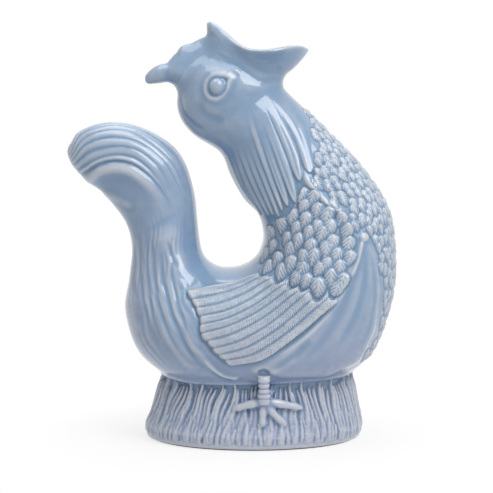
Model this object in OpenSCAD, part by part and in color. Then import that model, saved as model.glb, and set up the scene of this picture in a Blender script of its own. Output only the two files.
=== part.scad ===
// Cockerel jug in glazed earthenware. The bird looks back over its own body: the tail
// stands up behind as the handle, and the crest at the back of the head opens as the lip.
// The trunk is one hollow casting that runs from the tail tip through the body and the
// neck to the mouth, on a grassy oval plinth. +X points to the breast, +Z up, and the
// origin lies on the table under the middle of the jug.

/* [Overall size] */
// Length from the tail tip to the breast
jug_length = 197; // [160:1:240]
// Height from the table to the peak of the crest
jug_height = 248; // [200:1:300]
// Width of the body across its flanks
jug_width = 104; // [90:1:130]

/* [Walls] */
// Thickness of the cast wall
wall = 4.5; // [3.5:0.25:5.5]
// Thickness of the pouring lip at its rim
lip_wall = 3.6; // [2.5:0.1:4.5]
// Thickness of the floor
floor_thickness = 6; // [4:0.5:9]
// How far raised feathers, eyes and legs lie above the wall that carries them
seat_gap = 0.3; // [0.2:0.05:0.5]

/* [Plinth] */
// Length of the plinth at its widest level
plinth_length = 129.6; // [120:0.2:150]
// Width of the plinth at its widest level
plinth_width = 99; // [94:1:120]
// Height of the plinth, where the body rests on it
plinth_height = 37.5; // [34:0.5:42]
// Height of the bare foot under the glaze
foot_height = 2.4; // [1.5:0.1:4]
// How far the bare foot stands back from the glaze
foot_setback = 1.6; // [0.8:0.1:3]
// Width of the ring that the jug stands on
foot_ring_width = 7; // [5:0.5:12]
// Depth of the hollow under the floor
foot_recess = 1.6; // [0.8:0.1:2]

/* [Grass] */
// Number of blades round the plinth
grass_blades = 58; // [40:1:72]
// Width of one blade
grass_width = 5.4; // [3:0.1:6]
// How far a blade stands out
grass_rise = 1.3; // [0.6:0.1:2]

/* [Head] */
// Thickness of the comb
comb_thickness = 11; // [7:0.5:15]
// Width of the beak at its root
beak_width = 17; // [11:0.5:22]
// Width of the eyeball
eye_width = 9.6; // [7:0.2:12]
// How far the eyeball stands out
eye_rise = 3; // [1.5:0.1:4.5]
// Width across the mouth at its widest
mouth_width = 53; // [44:1:64]

/* [Feathers] */
// Number of flight feathers in a wing
flight_feathers = 10; // [6:1:12]
// How far a flight feather stands out
flight_rise = 2; // [1:0.1:3]
// Number of hackle feathers on a side of the neck
hackle_feathers = 9; // [6:1:11]
// How far a hackle feather stands out
hackle_rise = 1.6; // [0.8:0.1:2.5]
// Number of tail feathers on a side of the handle
tail_ribs = 6; // [4:1:7]
// How far a tail feather stands out
tail_rise = 1.5; // [0.8:0.1:2.5]
// Width of one breast scale where the neck meets the body
scale_width = 10.4; // [8:0.1:13]
// Spacing of the rows of breast scales along the breast
scale_row = 6.6; // [5:0.1:9]
// How far a breast scale stands out
scale_rise = 1.2; // [0.6:0.1:2]

/* [Legs] */
// How far a thigh stands out from the body
thigh_rise = 3.4; // [2:0.1:5]
// Thickness of a shank
shank_width = 8; // [6:0.2:11]
// Number of rings on a shank
shank_rings = 5; // [3:1:7]
// Thickness of a toe
toe_width = 6.4; // [4.5:0.1:8]
// How far the shanks and toes stand out
toe_rise = 3; // [2:0.1:5]

/* [Hidden] */

glaze = [0.62, 0.70, 0.80];
deep_glaze = [0.52, 0.61, 0.74];
bare_clay = [0.42, 0.36, 0.32];

// Segments round the trunk, and steps in one span between two stations
ROUND = 26;
SPAN_STEPS = 2;
// Steps along the cut where the body opens on the plinth
CUT_STEPS = 13;
// Segments round the plinth
PLINTH_ROUND = 40;
// Half an interval for slopes, as a share of a span or a degree, and how often an interval
// is halved to find a place
NUDGE_SHARE = 0.01;
HALVINGS = 16;

// Stations of the trunk, from the tail tip round to the mouth. Each has the outer edge
// and the inner edge in side view, as shares of the length and height, then the half
// width as a share of half the jug's width, and the share of the way across, from the
// outer edge, at which it is widest.
trunk_shares = [
    [-0.499, 0.684, -0.497, 0.700, 0.04, 0.50],
    [-0.484, 0.658, -0.460, 0.740, 0.18, 0.50],
    [-0.456, 0.632, -0.375, 0.760, 0.29, 0.52],
    [-0.420, 0.606, -0.270, 0.747, 0.36, 0.54],
    [-0.372, 0.572, -0.165, 0.688, 0.39, 0.54],
    [-0.325, 0.522, -0.121, 0.595, 0.39, 0.52],
    [-0.305, 0.460, -0.108, 0.500, 0.41, 0.50],
    [-0.312, 0.385, -0.095, 0.447, 0.49, 0.50],
    [-0.320, 0.300, -0.070, 0.421, 0.64, 0.50],
    [-0.270, 0.200, -0.040, 0.409, 0.83, 0.48],
    [-0.130, 0.125, -0.015, 0.407, 0.95, 0.46],
    [0.060, 0.105, 0.007, 0.408, 1.00, 0.45],
    [0.250, 0.128, 0.030, 0.413, 1.00, 0.45],
    [0.395, 0.190, 0.058, 0.425, 0.98, 0.46],
    [0.468, 0.300, 0.083, 0.449, 0.94, 0.47],
    [0.492, 0.430, 0.096, 0.490, 0.88, 0.48],
    [0.472, 0.555, 0.080, 0.540, 0.78, 0.48],
    [0.398, 0.648, 0.035, 0.580, 0.67, 0.48],
    [0.303, 0.727, -0.005, 0.635, 0.58, 0.48],
    [0.213, 0.795, -0.035, 0.690, 0.52, 0.48],
    [0.162, 0.834, -0.115, 0.733, 0.48, 0.47],
    [0.149, 0.846, -0.162, 0.782, 0.47, 0.45],
    [0.146, 0.853, -0.167, 0.838, 0.46, 0.44],
    [0.147, 0.860, -0.150, 0.887, 0.43, 0.44],
    [0.151, 0.866, -0.075, 0.930, 0.37, 0.46]];
// Power of the sine that gives the flanks, less than one for fuller flanks
FULLNESS_SHARE = 0.9;

// Places along the trunk are counted in its stations. It is hollow, parted into its castings
// and lowest at these shares of its run.
TAIL_HOLLOW_SHARE = 0.05;
TAIL_ROOT_SHARE = 7 / 24;
BODY_LOWEST_SHARE = 11 / 24;
NECK_ROOT_SHARE = 15 / 24;
HEAD_ROOT_SHARE = 20 / 24;
MOUTH = len(trunk_shares) - 1;
TAIL_HOLLOW = TAIL_HOLLOW_SHARE * MOUTH;
TAIL_ROOT = round(TAIL_ROOT_SHARE * MOUTH);
BODY_LOWEST = round(BODY_LOWEST_SHARE * MOUTH);
NECK_ROOT = round(NECK_ROOT_SHARE * MOUTH);
HEAD_ROOT = round(HEAD_ROOT_SHARE * MOUTH);

function lerp(a, b, t) = a + (b - a) * t;
function unit(v) = v / norm(v);
function flip_y(p) = [p.x, -p.y, p.z];

// Smooth curve through four values, between the second and the third
function through(a, b, c, d, t) =
    (2 * b + (c - a) * t + (2 * a - 5 * b + 4 * c - d) * t * t
    + (3 * b - a - 3 * c + d) * t * t * t) / 2;
// Smooth curve through a list, read at a place counted in its items
function along(list, place) =
    let (last = len(list) - 1, i = max(0, min(floor(place), last - 1)))
    through(list[max(i - 1, 0)], list[i], list[i + 1], list[min(i + 2, last)], place - i);

// Station of the trunk at a place: both edges, the half width and the widest share
function station(u, inset = 0) =
    let (
        s = along(trunk_shares, u),
        outer = [s[0] * jug_length, s[1] * jug_height],
        inner = [s[2] * jug_length, s[3] * jug_height],
        in = unit(inner - outer) * inset)
    [outer + in, inner - in, s[4] * jug_width / 2 - inset, s[5]];
// Share of the way across for an angle from the outer edge, and back
function across(angle, widest) =
    let (s = (1 - cos(angle)) / 2) s + (widest - 0.5) * 4 * s * (1 - s);
function angle_across(share, widest) =
    let (k = 4 * widest - 2)
    acos(1 - 2 * (abs(k) < NUDGE_SHARE ? share
        : (1 + k - sqrt(max(0, (1 + k) * (1 + k) - 4 * k * share))) / (2 * k)));
// Point of the trunk's skin at a place and an angle from its outer edge
function skin(u, angle, inset = 0) =
    let (
        s = station(u, inset),
        side = lerp(s[0], s[1], across(angle, s[3])),
        bulge = pow(abs(sin(angle)), FULLNESS_SHARE) * sign(sin(angle)))
    [side.x, -s[2] * bulge, side.y];
function skin_normal(u, angle) =
    let (step = NUDGE_SHARE * 100)
    unit(cross(skin(u + NUDGE_SHARE, angle) - skin(u - NUDGE_SHARE, angle),
        skin(u, angle + step) - skin(u, angle - step)));
// Place along the trunk whose station passes through a point of the side view
function place_of(p, lo, hi, left = HALVINGS) =
    let (
        mid = (lo + hi) / 2, s = station(mid), a = s[1] - s[0], b = p - s[0],
        before = a.x * b.y - a.y * b.x < 0)
    left == 0 ? mid : place_of(p, before ? mid : lo, before ? hi : mid, left - 1);
// Point and normal of the near flank at a point of the side view, within a span of places
function flank(p, span) =
    let (
        u = place_of(p, span[0], span[1]), s = station(u), a = s[1] - s[0],
        share = max(0, min(1, ((p - s[0]) * a) / (a * a))),
        angle = angle_across(share, s[3]), out = skin_normal(u, angle))
    [skin(u, angle) + out * seat_gap, out];

// Plinth: levels as shares of its height, with the share of the full length and width
// there and how far its middle has moved forward, as a share of the plinth's length
plinth_shares = [
    [0.00, 0.975, 0.975, -0.004],
    [0.06, 0.992, 0.994, -0.002],
    [0.17, 1.000, 1.000, 0.000],
    [0.36, 0.968, 0.962, 0.007],
    [0.60, 0.938, 0.930, 0.010],
    [0.82, 0.912, 0.905, 0.013],
    [0.94, 0.893, 0.880, 0.015],
    [1.00, 0.872, 0.845, 0.016]];
PLINTH_MIDDLE_SHARE = 0.064;
// Hollow of the plinth: height, and how far its wall stands in beyond the wall's thickness
hollow_shares = [[1.00, 1.6], [0.80, 0.9], [0.55, 0.2], [0.16, 0]];
plinth_middle = PLINTH_MIDDLE_SHARE * jug_length;
function plinth_oval(share, inset = 0) =
    let (
        low = [for (i = [0:len(plinth_shares) - 1]) if (plinth_shares[i][0] <= share) i],
        i = min(max(low), len(plinth_shares) - 2), a = plinth_shares[i], b = plinth_shares[i + 1],
        s = lerp(a, b, (share - a[0]) / (b[0] - a[0])))
    [s[1] * plinth_length / 2 - inset, s[2] * plinth_width / 2 - inset,
        plinth_middle + s[3] * plinth_length];
function plinth_point(share, angle, inset = 0) =
    let (o = plinth_oval(share, inset))
    [o[2] + o[0] * cos(angle), o[1] * sin(angle), lerp(foot_height, plinth_height, share)];
// Point and normal of the plinth's near side at a point of the side view
function plinth_side(p) =
    let (
        share = max(0, min(1, (p.y - foot_height) / (plinth_height - foot_height))),
        o = plinth_oval(share),
        angle = -acos(max(-1, min(1, (p.x - o[2]) / o[0]))), out = plinth_normal(share, angle))
    [plinth_point(share, angle) + out * seat_gap, out];
function plinth_normal(share, angle) =
    let (
        s = min(max(share, NUDGE_SHARE), 1 - NUDGE_SHARE),
        up = plinth_point(s + NUDGE_SHARE, angle) - plinth_point(s - NUDGE_SHARE, angle),
        round = plinth_point(s, angle + 1) - plinth_point(s, angle - 1))
    unit(cross(round, up));

// Triangles of a wall through rings of points that turn the same way. An open row of
// rings is capped at both ends, and a looped one comes back to its first ring.
module wrap(rings, looped = false, turned = false) {
    n = len(rings);
    m = len(rings[0]);
    sides = [for (i = [0:looped ? n - 1 : n - 2], j = [0:m - 1])
        let (
            a = i * m + j, b = ((i + 1) % n) * m + j,
            c = ((i + 1) % n) * m + (j + 1) % m, d = i * m + (j + 1) % m)
        each [[a, d, c], [a, c, b]]];
    far = (n - 1) * m;
    caps = looped ? [] : [for (j = [0:m - 3]) each [
        [m - 1, j + 1, j], [far + m - 1, far + j, far + j + 1]]];
    faces = concat(sides, caps);
    polyhedron([for (r = rings) each r],
        turned ? [for (f = faces) [for (k = [len(f) - 1:-1:0]) f[k]]] : faces, convexity = 10);
}

function trunk_ring(u, inset = 0) = [for (j = [0:ROUND - 1]) skin(u, 360 * j / ROUND, inset)];
function trunk_rings(from, to, steps, inset = 0) =
    [for (k = [0:steps]) trunk_ring(lerp(from, to, k / steps), inset)];
// Open length of the trunk with its wall
module trunk_tube(from, to)
    wrap(concat(trunk_rings(from, to, (to - from) * SPAN_STEPS),
        trunk_rings(to, from, to - from, wall)), looped = true);

module foot_base() color(bare_clay) {
    o = plinth_oval(0, foot_setback);
    f = plinth_oval(hollow_shares[3][0], wall);
    difference() {
        translate([o[2], 0, 0]) linear_extrude(foot_height) oval(o[0], o[1]);
        translate([o[2], 0, -foot_recess]) linear_extrude(2 * foot_recess)
            oval(o[0] - foot_ring_width, o[1] - foot_ring_width);
    }
    translate([f[2], 0, foot_height]) linear_extrude(floor_thickness - foot_height) oval(f[0], f[1]);
}
plinth_turn = [for (j = [0:PLINTH_ROUND - 1]) 360 * j / PLINTH_ROUND];
module oval(a, b) polygon([for (t = plinth_turn) [a * cos(t), b * sin(t)]]);

module grass_plinth() color(glaze) {
    f = hollow_shares[3][0];
    wrap(concat(
        [for (s = plinth_shares) [for (t = plinth_turn) plinth_point(s[0], t)]],
        [for (h = hollow_shares) [for (t = plinth_turn) plinth_point(h[0], t, wall * (1 + h[1]))]],
        [[for (t = plinth_turn) let (p = plinth_point(f, t, wall)) [p.x, p.y, foot_height]]]),
        looped = true, turned = true);
}

// Blade of grass: its two edges lie on the plinth and a ridge stands out between them
module grass_tufts() color(deep_glaze) {
    tops_share = [0.86, 0.96, 0.80, 0.91];
    lean_shares = [0.35, -0.25, 0.5, 0.15, -0.35];
    heights_share = [0.03, 0.3, 0.7, 1];
    widths_share = [0.85, 1, 0.9, 0.3];
    for (k = [0:grass_blades - 1]) {
        angle = 360 * k / grass_blades;
        o = plinth_oval(0.5);
        half = asin(min(1, grass_width / 2 / norm([o[0] * sin(angle), o[1] * cos(angle)])));
        wrap([for (r = [0:3])
            let (
                share = heights_share[r] * tops_share[k % 4],
                mid = angle + lean_shares[k % 5] * pow(heights_share[r], 2) * 360 / grass_blades,
                h = half * widths_share[r], out = plinth_normal(share, mid))
            [plinth_point(share, mid - h) + out * seat_gap,
                plinth_point(share, mid) + out * (seat_gap + grass_rise * widths_share[r]),
                plinth_point(share, mid + h) + out * seat_gap]], turned = true);
    }
}

// Where the trunk's outer edge passes the height of the plinth's top, between two places
function edge_meets(lo, hi, inset, left = HALVINGS) =
    let (mid = (lo + hi) / 2, above = station(mid, inset)[0].y > plinth_height)
    left == 0 ? mid : (station(lo, inset)[0].y > plinth_height) == above
        ? edge_meets(mid, hi, inset, left - 1) : edge_meets(lo, mid, inset, left - 1);

// Body: its lowest part is cut off level and stands open on the plinth's hollow
module body_shell() {
    before = 2 * SPAN_STEPS + 1;
    after = 2 * SPAN_STEPS + 1;
    n = before + CUT_STEPS + after + 1;
    function is_cut(i) = i > before && i < before + CUT_STEPS;
    function places(inset) =
        let (a = edge_meets(TAIL_ROOT, BODY_LOWEST, inset),
            b = edge_meets(BODY_LOWEST, NECK_ROOT, inset))
        concat([for (k = [0:before - 1]) lerp(TAIL_ROOT, a, k / before)],
            [for (k = [0:CUT_STEPS]) lerp(a, b, (1 - cos(180 * k / CUT_STEPS)) / 2)],
            [for (k = [1:after]) lerp(b, NECK_ROOT, k / after)]);
    function row(i, u, inset) =
        let (
            s = station(u, inset),
            from = is_cut(i) ? angle_across((plinth_height - s[0].y) / (s[1].y - s[0].y), s[3]) : 0)
        [for (j = [0:ROUND]) skin(u, lerp(from, 360 - from, j / ROUND), inset)];
    function rows(inset) = let (u = places(inset)) [for (i = [0:n - 1]) each row(i, u[i], inset)];
    function out(i, j) = i * (ROUND + 1) + (j == ROUND && !is_cut(i) ? 0 : j);
    function in(i, j) = n * (ROUND + 1) + out(i, j);
    skins = [for (i = [0:n - 2], j = [0:ROUND - 1]) each [
        [out(i, j), out(i, j + 1), out(i + 1, j + 1)], [out(i, j), out(i + 1, j + 1), out(i + 1, j)],
        [in(i, j), in(i + 1, j + 1), in(i, j + 1)], [in(i, j), in(i + 1, j), in(i + 1, j + 1)]]];
    e = n - 1;
    ends = [for (j = [0:ROUND - 1]) each [
        [out(0, j + 1), out(0, j), in(0, j)], [out(0, j + 1), in(0, j), in(0, j + 1)],
        [out(e, j), out(e, j + 1), in(e, j + 1)], [out(e, j), in(e, j + 1), in(e, j)]]];
    seat = [for (i = [before:before + CUT_STEPS - 1]) each [
        [out(i, 0), out(i + 1, 0), in(i + 1, 0)], [out(i, 0), in(i + 1, 0), in(i, 0)],
        [out(i + 1, ROUND), out(i, ROUND), in(i, ROUND)],
        [out(i + 1, ROUND), in(i, ROUND), in(i + 1, ROUND)]]];
    color(glaze) polyhedron(concat(rows(0), rows(wall)), concat(skins, ends, seat), convexity = 10);
}

module tail_handle() color(glaze)
    wrap(concat(trunk_rings(0, TAIL_ROOT, TAIL_ROOT * SPAN_STEPS),
        trunk_rings(TAIL_ROOT, TAIL_HOLLOW, TAIL_ROOT, wall)));
module neck_shell() color(glaze) trunk_tube(NECK_ROOT, HEAD_ROOT);
module head_shell() color(glaze) trunk_tube(HEAD_ROOT, MOUTH);

// Rim of the mouth from the peak to the spout: side view as shares of the length and
// height, then the half width as a share of half the mouth's width
rim_shares = [
    [-0.070, 1.000, 0.00], [-0.060, 0.997, 0.20], [-0.035, 0.978, 0.42], [0.000, 0.956, 0.66],
    [0.040, 0.938, 0.88], [0.085, 0.934, 1.00], [0.130, 0.936, 0.98], [0.175, 0.942, 0.78],
    [0.210, 0.943, 0.42], [0.229, 0.937, 0.00]];
// How far the rim is rounded over, and where in its length all its walls point
RIM_ROUND_SHARE = 0.3;
RIM_HEART_SHARE = 0.45;
FLARE_SHARES = [0, 0.3, 0.55, 0.78, 1];
flare_bend_shares = [0.2, 0.12, 0.62];

// Rim point at an angle that is 180 at the peak and 0 at the spout
function rim_point(angle, inset) =
    let (
        last = len(rim_shares) - 1, place = last * (1 + cos(angle)) / 2,
        s = along(rim_shares, place),
        p = [s.x * jug_length, -s[2] * mouth_width / 2 * sign(sin(angle)), s.y * jug_height],
        heart = [lerp(rim_shares[0].x, rim_shares[last].x, RIM_HEART_SHARE) * jug_length, 0, 0],
        in = unit([heart.x - p.x, -p.y, 0]))
    [p.x + in.x * inset, p.y + in.y * inset, p.z];
function flare_ring(share, inset_foot, inset_rim) =
    [for (j = [0:ROUND - 1])
        let (
            angle = 360 * j / ROUND, foot = skin(MOUTH, angle, inset_foot),
            rim = rim_point(angle, inset_rim) - [0, 0, lip_wall * RIM_ROUND_SHARE],
            bend = [for (k = [0:2]) lerp(foot[k], rim[k], flare_bend_shares[k])])
        lerp(lerp(foot, bend, share), lerp(bend, rim, share), share)];
module pouring_lip() color(glaze) wrap(concat(
    [for (s = FLARE_SHARES) flare_ring(s, 0, 0)],
    [[for (j = [0:ROUND - 1]) rim_point(360 * j / ROUND, lip_wall / 2)]],
    [for (k = [4:-1:0]) flare_ring(FLARE_SHARES[k], wall, lip_wall)]), looped = true);

// Strip that stands out from a surface along a line of the side view, such as a feather or
// a toe. Its edges lie on the surface. The half widths and the rises are given at even
// steps along the line, and the profile gives the rise at shares of the half width.
module strip(line, halves, rises, profile, ground) {
    last = len(halves) - 1;
    wrap([for (k = [0:last])
        let (
            place = k / last * (len(line) - 1), mid = along(line, place),
            way = unit(along(line, place + NUDGE_SHARE) - along(line, place - NUDGE_SHARE)),
            side = [-way.y, way.x] * halves[k])
        concat(
            [for (q = profile)
                let (f = ground(mid + side * q[0])) f[0] + f[1] * rises[k] * q[1]],
            [ground(mid)[0]])]);
}
rounded_profile = [[-1, 0], [-0.7, 0.75], [0, 1], [0.7, 0.75], [1, 0]];
feather_profile = [[-1, 0], [-0.66, 1], [0, 0.6], [0.66, 1], [1, 0]];

// Pad that stands out from a surface. Each ring is a closed outline in the side view,
// turning anticlockwise, with its rise; the first rings lie on the surface.
module pad(rings, ground)
    wrap([for (r = rings) [for (p = r[0]) let (f = ground(p)) f[0] + f[1] * r[1]]], turned = true);
function shrunk(outline, middle, share) = [for (p = outline) lerp(middle, p, share)];
function to_size(shares) = [for (p = shares) [p.x * jug_length, p.y * jug_height]];

// Line of one feather of a fan: the table has a row for each of some feathers across it
function fan_line(table, share) =
    to_size([for (k = [0:len(table[0]) - 1]) along([for (row = table) row[k]], share * (len(table) - 1))]);
// Half the distance from a feather's line to the next one's, at a place along it
function fan_half(table, count, share, place) =
    let (
        a = fan_line(table, share), b = fan_line(table, share + 0.5 / count),
        way = unit(along(a, place + NUDGE_SHARE) - along(a, place - NUDGE_SHARE)),
        gap = along(b, place) - along(a, place))
    abs(way.x * gap.y - way.y * gap.x) * count / (count - 1);
FEATHER_GAP_SHARE = 0.92;
module fan(table, count, rise, taper, span) {
    steps = len(taper) - 1;
    ends = len(table[0]) - 1;
    for (k = [0:count - 1]) {
        share = k / (count - 1);
        strip(fan_line(table, share),
            [for (i = [0:steps])
                fan_half(table, count, share, i / steps * ends) * taper[i][0] * FEATHER_GAP_SHARE],
            [for (t = taper) t[1] * rise], feather_profile, function(p) flank(p, span));
    }
}

// Feathers of the upper tail, from its back edge to the fold above the smooth flank
tail_fan_shares = [
    [[-0.476, 0.713], [-0.400, 0.742], [-0.290, 0.722], [-0.195, 0.662], [-0.142, 0.590]],
    [[-0.474, 0.688], [-0.400, 0.708], [-0.310, 0.698], [-0.222, 0.644], [-0.168, 0.572]],
    [[-0.460, 0.656], [-0.400, 0.670], [-0.330, 0.664], [-0.252, 0.626], [-0.200, 0.560]]];
tail_taper = [[0.35, 0.4], [0.97, 1], [1, 1], [1, 0.9], [0.4, 0.2]];
module tail_feathers() color(glaze) pair()
    fan(tail_fan_shares, tail_ribs, tail_rise, tail_taper, [0, TAIL_ROOT]);
module pair() {
    children();
    mirror([0, 1, 0]) children();
}

// Flight feathers from the upper edge of the wing to its lower edge, tips first
wing_fan_shares = [
    [[-0.135, 0.345], [-0.065, 0.355], [0.005, 0.366], [0.075, 0.388]],
    [[-0.106, 0.300], [-0.030, 0.311], [0.050, 0.338], [0.115, 0.372]],
    [[-0.098, 0.255], [-0.010, 0.273], [0.080, 0.308], [0.160, 0.355]],
    [[-0.062, 0.215], [0.030, 0.236], [0.125, 0.280], [0.210, 0.338]],
    [[-0.020, 0.185], [0.080, 0.203], [0.185, 0.258], [0.272, 0.318]]];
wing_taper = [[0.5, 0.5], [1, 1], [1, 1], [1, 0.9], [0.8, 0.3]];
module wing_right() color(glaze)
    fan(wing_fan_shares, flight_feathers, flight_rise, wing_taper, [TAIL_ROOT + 1, NECK_ROOT]);
module wing_left() mirror([0, 1, 0]) wing_right();

// Hackle feathers from the throat to the back of the neck, roots first
hackle_fan_shares = [
    [[-0.020, 0.735], [0.005, 0.665], [0.035, 0.605], [0.082, 0.552]],
    [[0.020, 0.760], [0.050, 0.690], [0.085, 0.620], [0.125, 0.548]],
    [[0.050, 0.800], [0.090, 0.720], [0.125, 0.640], [0.165, 0.560]],
    [[0.080, 0.830], [0.125, 0.765], [0.168, 0.690], [0.200, 0.620]],
    [[0.098, 0.845], [0.155, 0.790], [0.200, 0.730], [0.232, 0.650]]];
hackle_taper = [[0.5, 0.1], [0.95, 0.9], [1, 1], [0.9, 1], [0.2, 0.3]];
module hackle_right() color(glaze)
    fan(hackle_fan_shares, hackle_feathers, hackle_rise, hackle_taper, [NECK_ROOT, MOUTH - 1]);
module hackle_left() mirror([0, 1, 0]) hackle_right();

// Area of the breast scales in side view; it runs out past the breast
scale_area_shares = [
    [0.250, 0.800], [0.240, 0.720], [0.236, 0.660], [0.220, 0.610], [0.180, 0.575], [0.152, 0.530],
    [0.128, 0.470], [0.100, 0.415], [0.085, 0.396], [0.130, 0.383], [0.190, 0.372], [0.240, 0.358],
    [0.285, 0.335], [0.325, 0.368], [0.345, 0.405], [0.356, 0.450], [0.388, 0.508], [0.415, 0.480],
    [0.440, 0.430], [0.458, 0.370], [0.455, 0.300], [0.430, 0.235], [0.390, 0.200], [0.600, 0.170],
    [0.600, 0.800]];
SCALE_GAP_SHARE = 0.94;
function crossings(p, area) = len([for (i = [0:len(area) - 1])
    let (a = area[i], b = area[(i + 1) % len(area)])
    if ((a.y > p.y) != (b.y > p.y) && p.x < lerp(a.x, b.x, (p.y - a.y) / (b.y - a.y))) i]);
function is_scaly(p) = crossings([p.x / jug_length, p.z / jug_height], scale_area_shares) % 2 == 1;
function row_places(u, last) =
    let (pace = norm(skin(u + NUDGE_SHARE, 0) - skin(u - NUDGE_SHARE, 0)) / (2 * NUDGE_SHARE))
    u > last ? [] : concat([u], row_places(u + scale_row / pace, last));
scale_angle = 2 * asin(scale_width / 2 / station(NECK_ROOT)[2]);
// One scale: four corners on the skin and a crest near its lower end
module scale_feather(u, angle, length, half) {
    s = SCALE_GAP_SHARE;
    out = skin_normal(u, angle);
    corners = [for (c = [[u + length * s, angle], [u, angle + half * s],
        [u - length * s, angle], [u, angle - half * s]]) skin(c.x, c.y) + out * seat_gap];
    crest = skin(u - length / 2, angle) + out * (seat_gap + scale_rise);
    polyhedron(concat(corners, [crest]),
        [[1, 0, 4], [2, 1, 4], [3, 2, 4], [0, 3, 4], [0, 1, 2], [0, 2, 3]]);
}
module breast_scales() color(glaze) {
    rows = row_places(NECK_ROOT - 2, HEAD_ROOT - 1);
    for (k = [1:len(rows) - 2]) {
        length = (rows[k + 1] - rows[k - 1]) / 2;
        start = k % 2 * scale_angle / 2 - floor(180 / scale_angle) * scale_angle;
        for (angle = [start:scale_angle:180])
            if (is_scaly(skin(rows[k], angle))) scale_feather(rows[k], angle, length, scale_angle / 2);
    }
}

// Thigh: a smooth swelling between the wing and the breast scales
thigh_shares = [
    [0.045, 0.160], [0.130, 0.156], [0.220, 0.158], [0.300, 0.167], [0.360, 0.190], [0.405, 0.240],
    [0.430, 0.300], [0.436, 0.370], [0.420, 0.430], [0.388, 0.485], [0.362, 0.440], [0.348, 0.395],
    [0.325, 0.355], [0.285, 0.316], [0.220, 0.268], [0.150, 0.228], [0.090, 0.200], [0.045, 0.182]];
thigh_middle_share = [0.310, 0.260];
thigh_ring_shares = [[0.05, 0], [0.3, 0], [0.55, 0], [0.8, 0], [1, 0],
    [0.92, 0.45], [0.78, 0.8], [0.55, 1], [0.3, 1], [0.05, 1]];
module thigh_right() color(glaze) {
    o = to_size(thigh_shares);
    m = to_size([thigh_middle_share])[0];
    pad([for (r = thigh_ring_shares) [shrunk(o, m, r[0]), r[1] * thigh_rise]],
        function(p) flank(p, [TAIL_ROOT + 2, NECK_ROOT + 2]));
}
module thigh_left() mirror([0, 1, 0]) thigh_right();

// Eye: a rim pointed towards the back of the head, and the ball inside it
eye_share = [-0.046, 0.846];
eye_rim_shares = [
    [0.84, 0.57], [0.45, 0.80], [0.00, 0.82], [-0.45, 0.70], [-0.75, 0.30], [-0.80, -0.15],
    [-0.62, -0.60], [-0.28, -0.80], [0.12, -0.68], [0.42, -0.36], [0.65, 0.00], [0.80, 0.32]];
eye_lid_shares = [[0.05, 0], [0.5, 0], [1, 0], [0.93, 0.4], [0.82, 0.45]];
eye_ball_shares = [[1.08, 0.1], [0.95, 0.5], [0.7, 0.85], [0.3, 1]];
module eye_right() color(glaze) {
    m = to_size([eye_share])[0];
    rim = [for (p = eye_rim_shares) m + p * eye_width];
    ball = [for (p = eye_rim_shares) m + unit(p) * eye_width / 2];
    pad(concat(
        [for (r = eye_lid_shares) [shrunk(rim, m, r[0]), r[1] * eye_rise]],
        [for (r = eye_ball_shares) [shrunk(ball, m, r[0]), r[1] * eye_rise]]),
        function(p) flank(p, [HEAD_ROOT - 1, MOUTH]));
}
module eye_left() mirror([0, 1, 0]) eye_right();

// Comb: soft lobes from the root of the beak up to the peak of the crest
comb_shares = [
    [-0.196, 0.906], [-0.184, 0.924], [-0.170, 0.927], [-0.158, 0.943], [-0.140, 0.948], [-0.124, 0.948],
    [-0.108, 0.959], [-0.092, 0.962], [-0.0775, 0.966]];
COMB_ROOT_SHARE = 0.956;
// Height up the comb, and half its thickness there as a share of the whole thickness
comb_waist_shares = [0.55, 0.42];
comb_brow_shares = [0.93, 0.24];
module comb() color(glaze) {
    top = to_size(comb_shares);
    n = len(top) - 1;
    wrap([for (k = [0:n])
        let (
            u = lerp(COMB_ROOT_SHARE * MOUTH, MOUTH, k / n),
            spread = asin(comb_thickness / 2 / station(u)[2]),
            near = skin(u, 180 - spread), mid = skin(u, 180), peak = [top[k].x, 0, top[k].y],
            waist = lerp(mid, peak, comb_waist_shares[0]) - [0, comb_thickness * comb_waist_shares[1], 0],
            brow = lerp(mid, peak, comb_brow_shares[0]) - [0, comb_thickness * comb_brow_shares[1], 0])
        [near, waist, brow, peak, flip_y(brow), flip_y(waist), flip_y(near), mid]]);
}

// Beak: lower and upper lines in side view, then the share of its width at the root
beak_shares = [
    [[-0.180, 0.857], [-0.182, 0.903], 0.94], [[-0.205, 0.862], [-0.208, 0.902], 0.80],
    [[-0.232, 0.860], [-0.236, 0.894], 0.60], [[-0.252, 0.858], [-0.254, 0.882], 0.40],
    [[-0.263, 0.862], [-0.264, 0.872], 0.16]];
// Middle of the beak's root, and how far it reaches either way, as shares of the trunk's run
BEAK_PLACE_SHARE = 0.935;
BEAK_SPREAD_SHARE = 0.02;
BEAK_SIDES = 12;
module beak() {
    turn = [for (j = [0:BEAK_SIDES - 1]) 360 * j / BEAK_SIDES];
    half = beak_width / 2;
    function root(share) = [for (t = turn)
        let (
            u = (BEAK_PLACE_SHARE + BEAK_SPREAD_SHARE * share * cos(t)) * MOUTH,
            swing = half * share * sin(t))
        skin(u, 180 - asin(swing / station(u)[2]))];
    function horn(b) =
        let (edges = to_size([b[0], b[1]]), mid = (edges[0] + edges[1]) / 2, up = (edges[1] - edges[0]) / 2)
        [for (t = turn) [mid.x + up.x * cos(t), -half * b[2] * sin(t), mid.y + up.y * cos(t)]];
    color(glaze) wrap(concat([root(0.05), root(0.55), root(1)], [for (b = beak_shares) horn(b)]));
}

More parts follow.
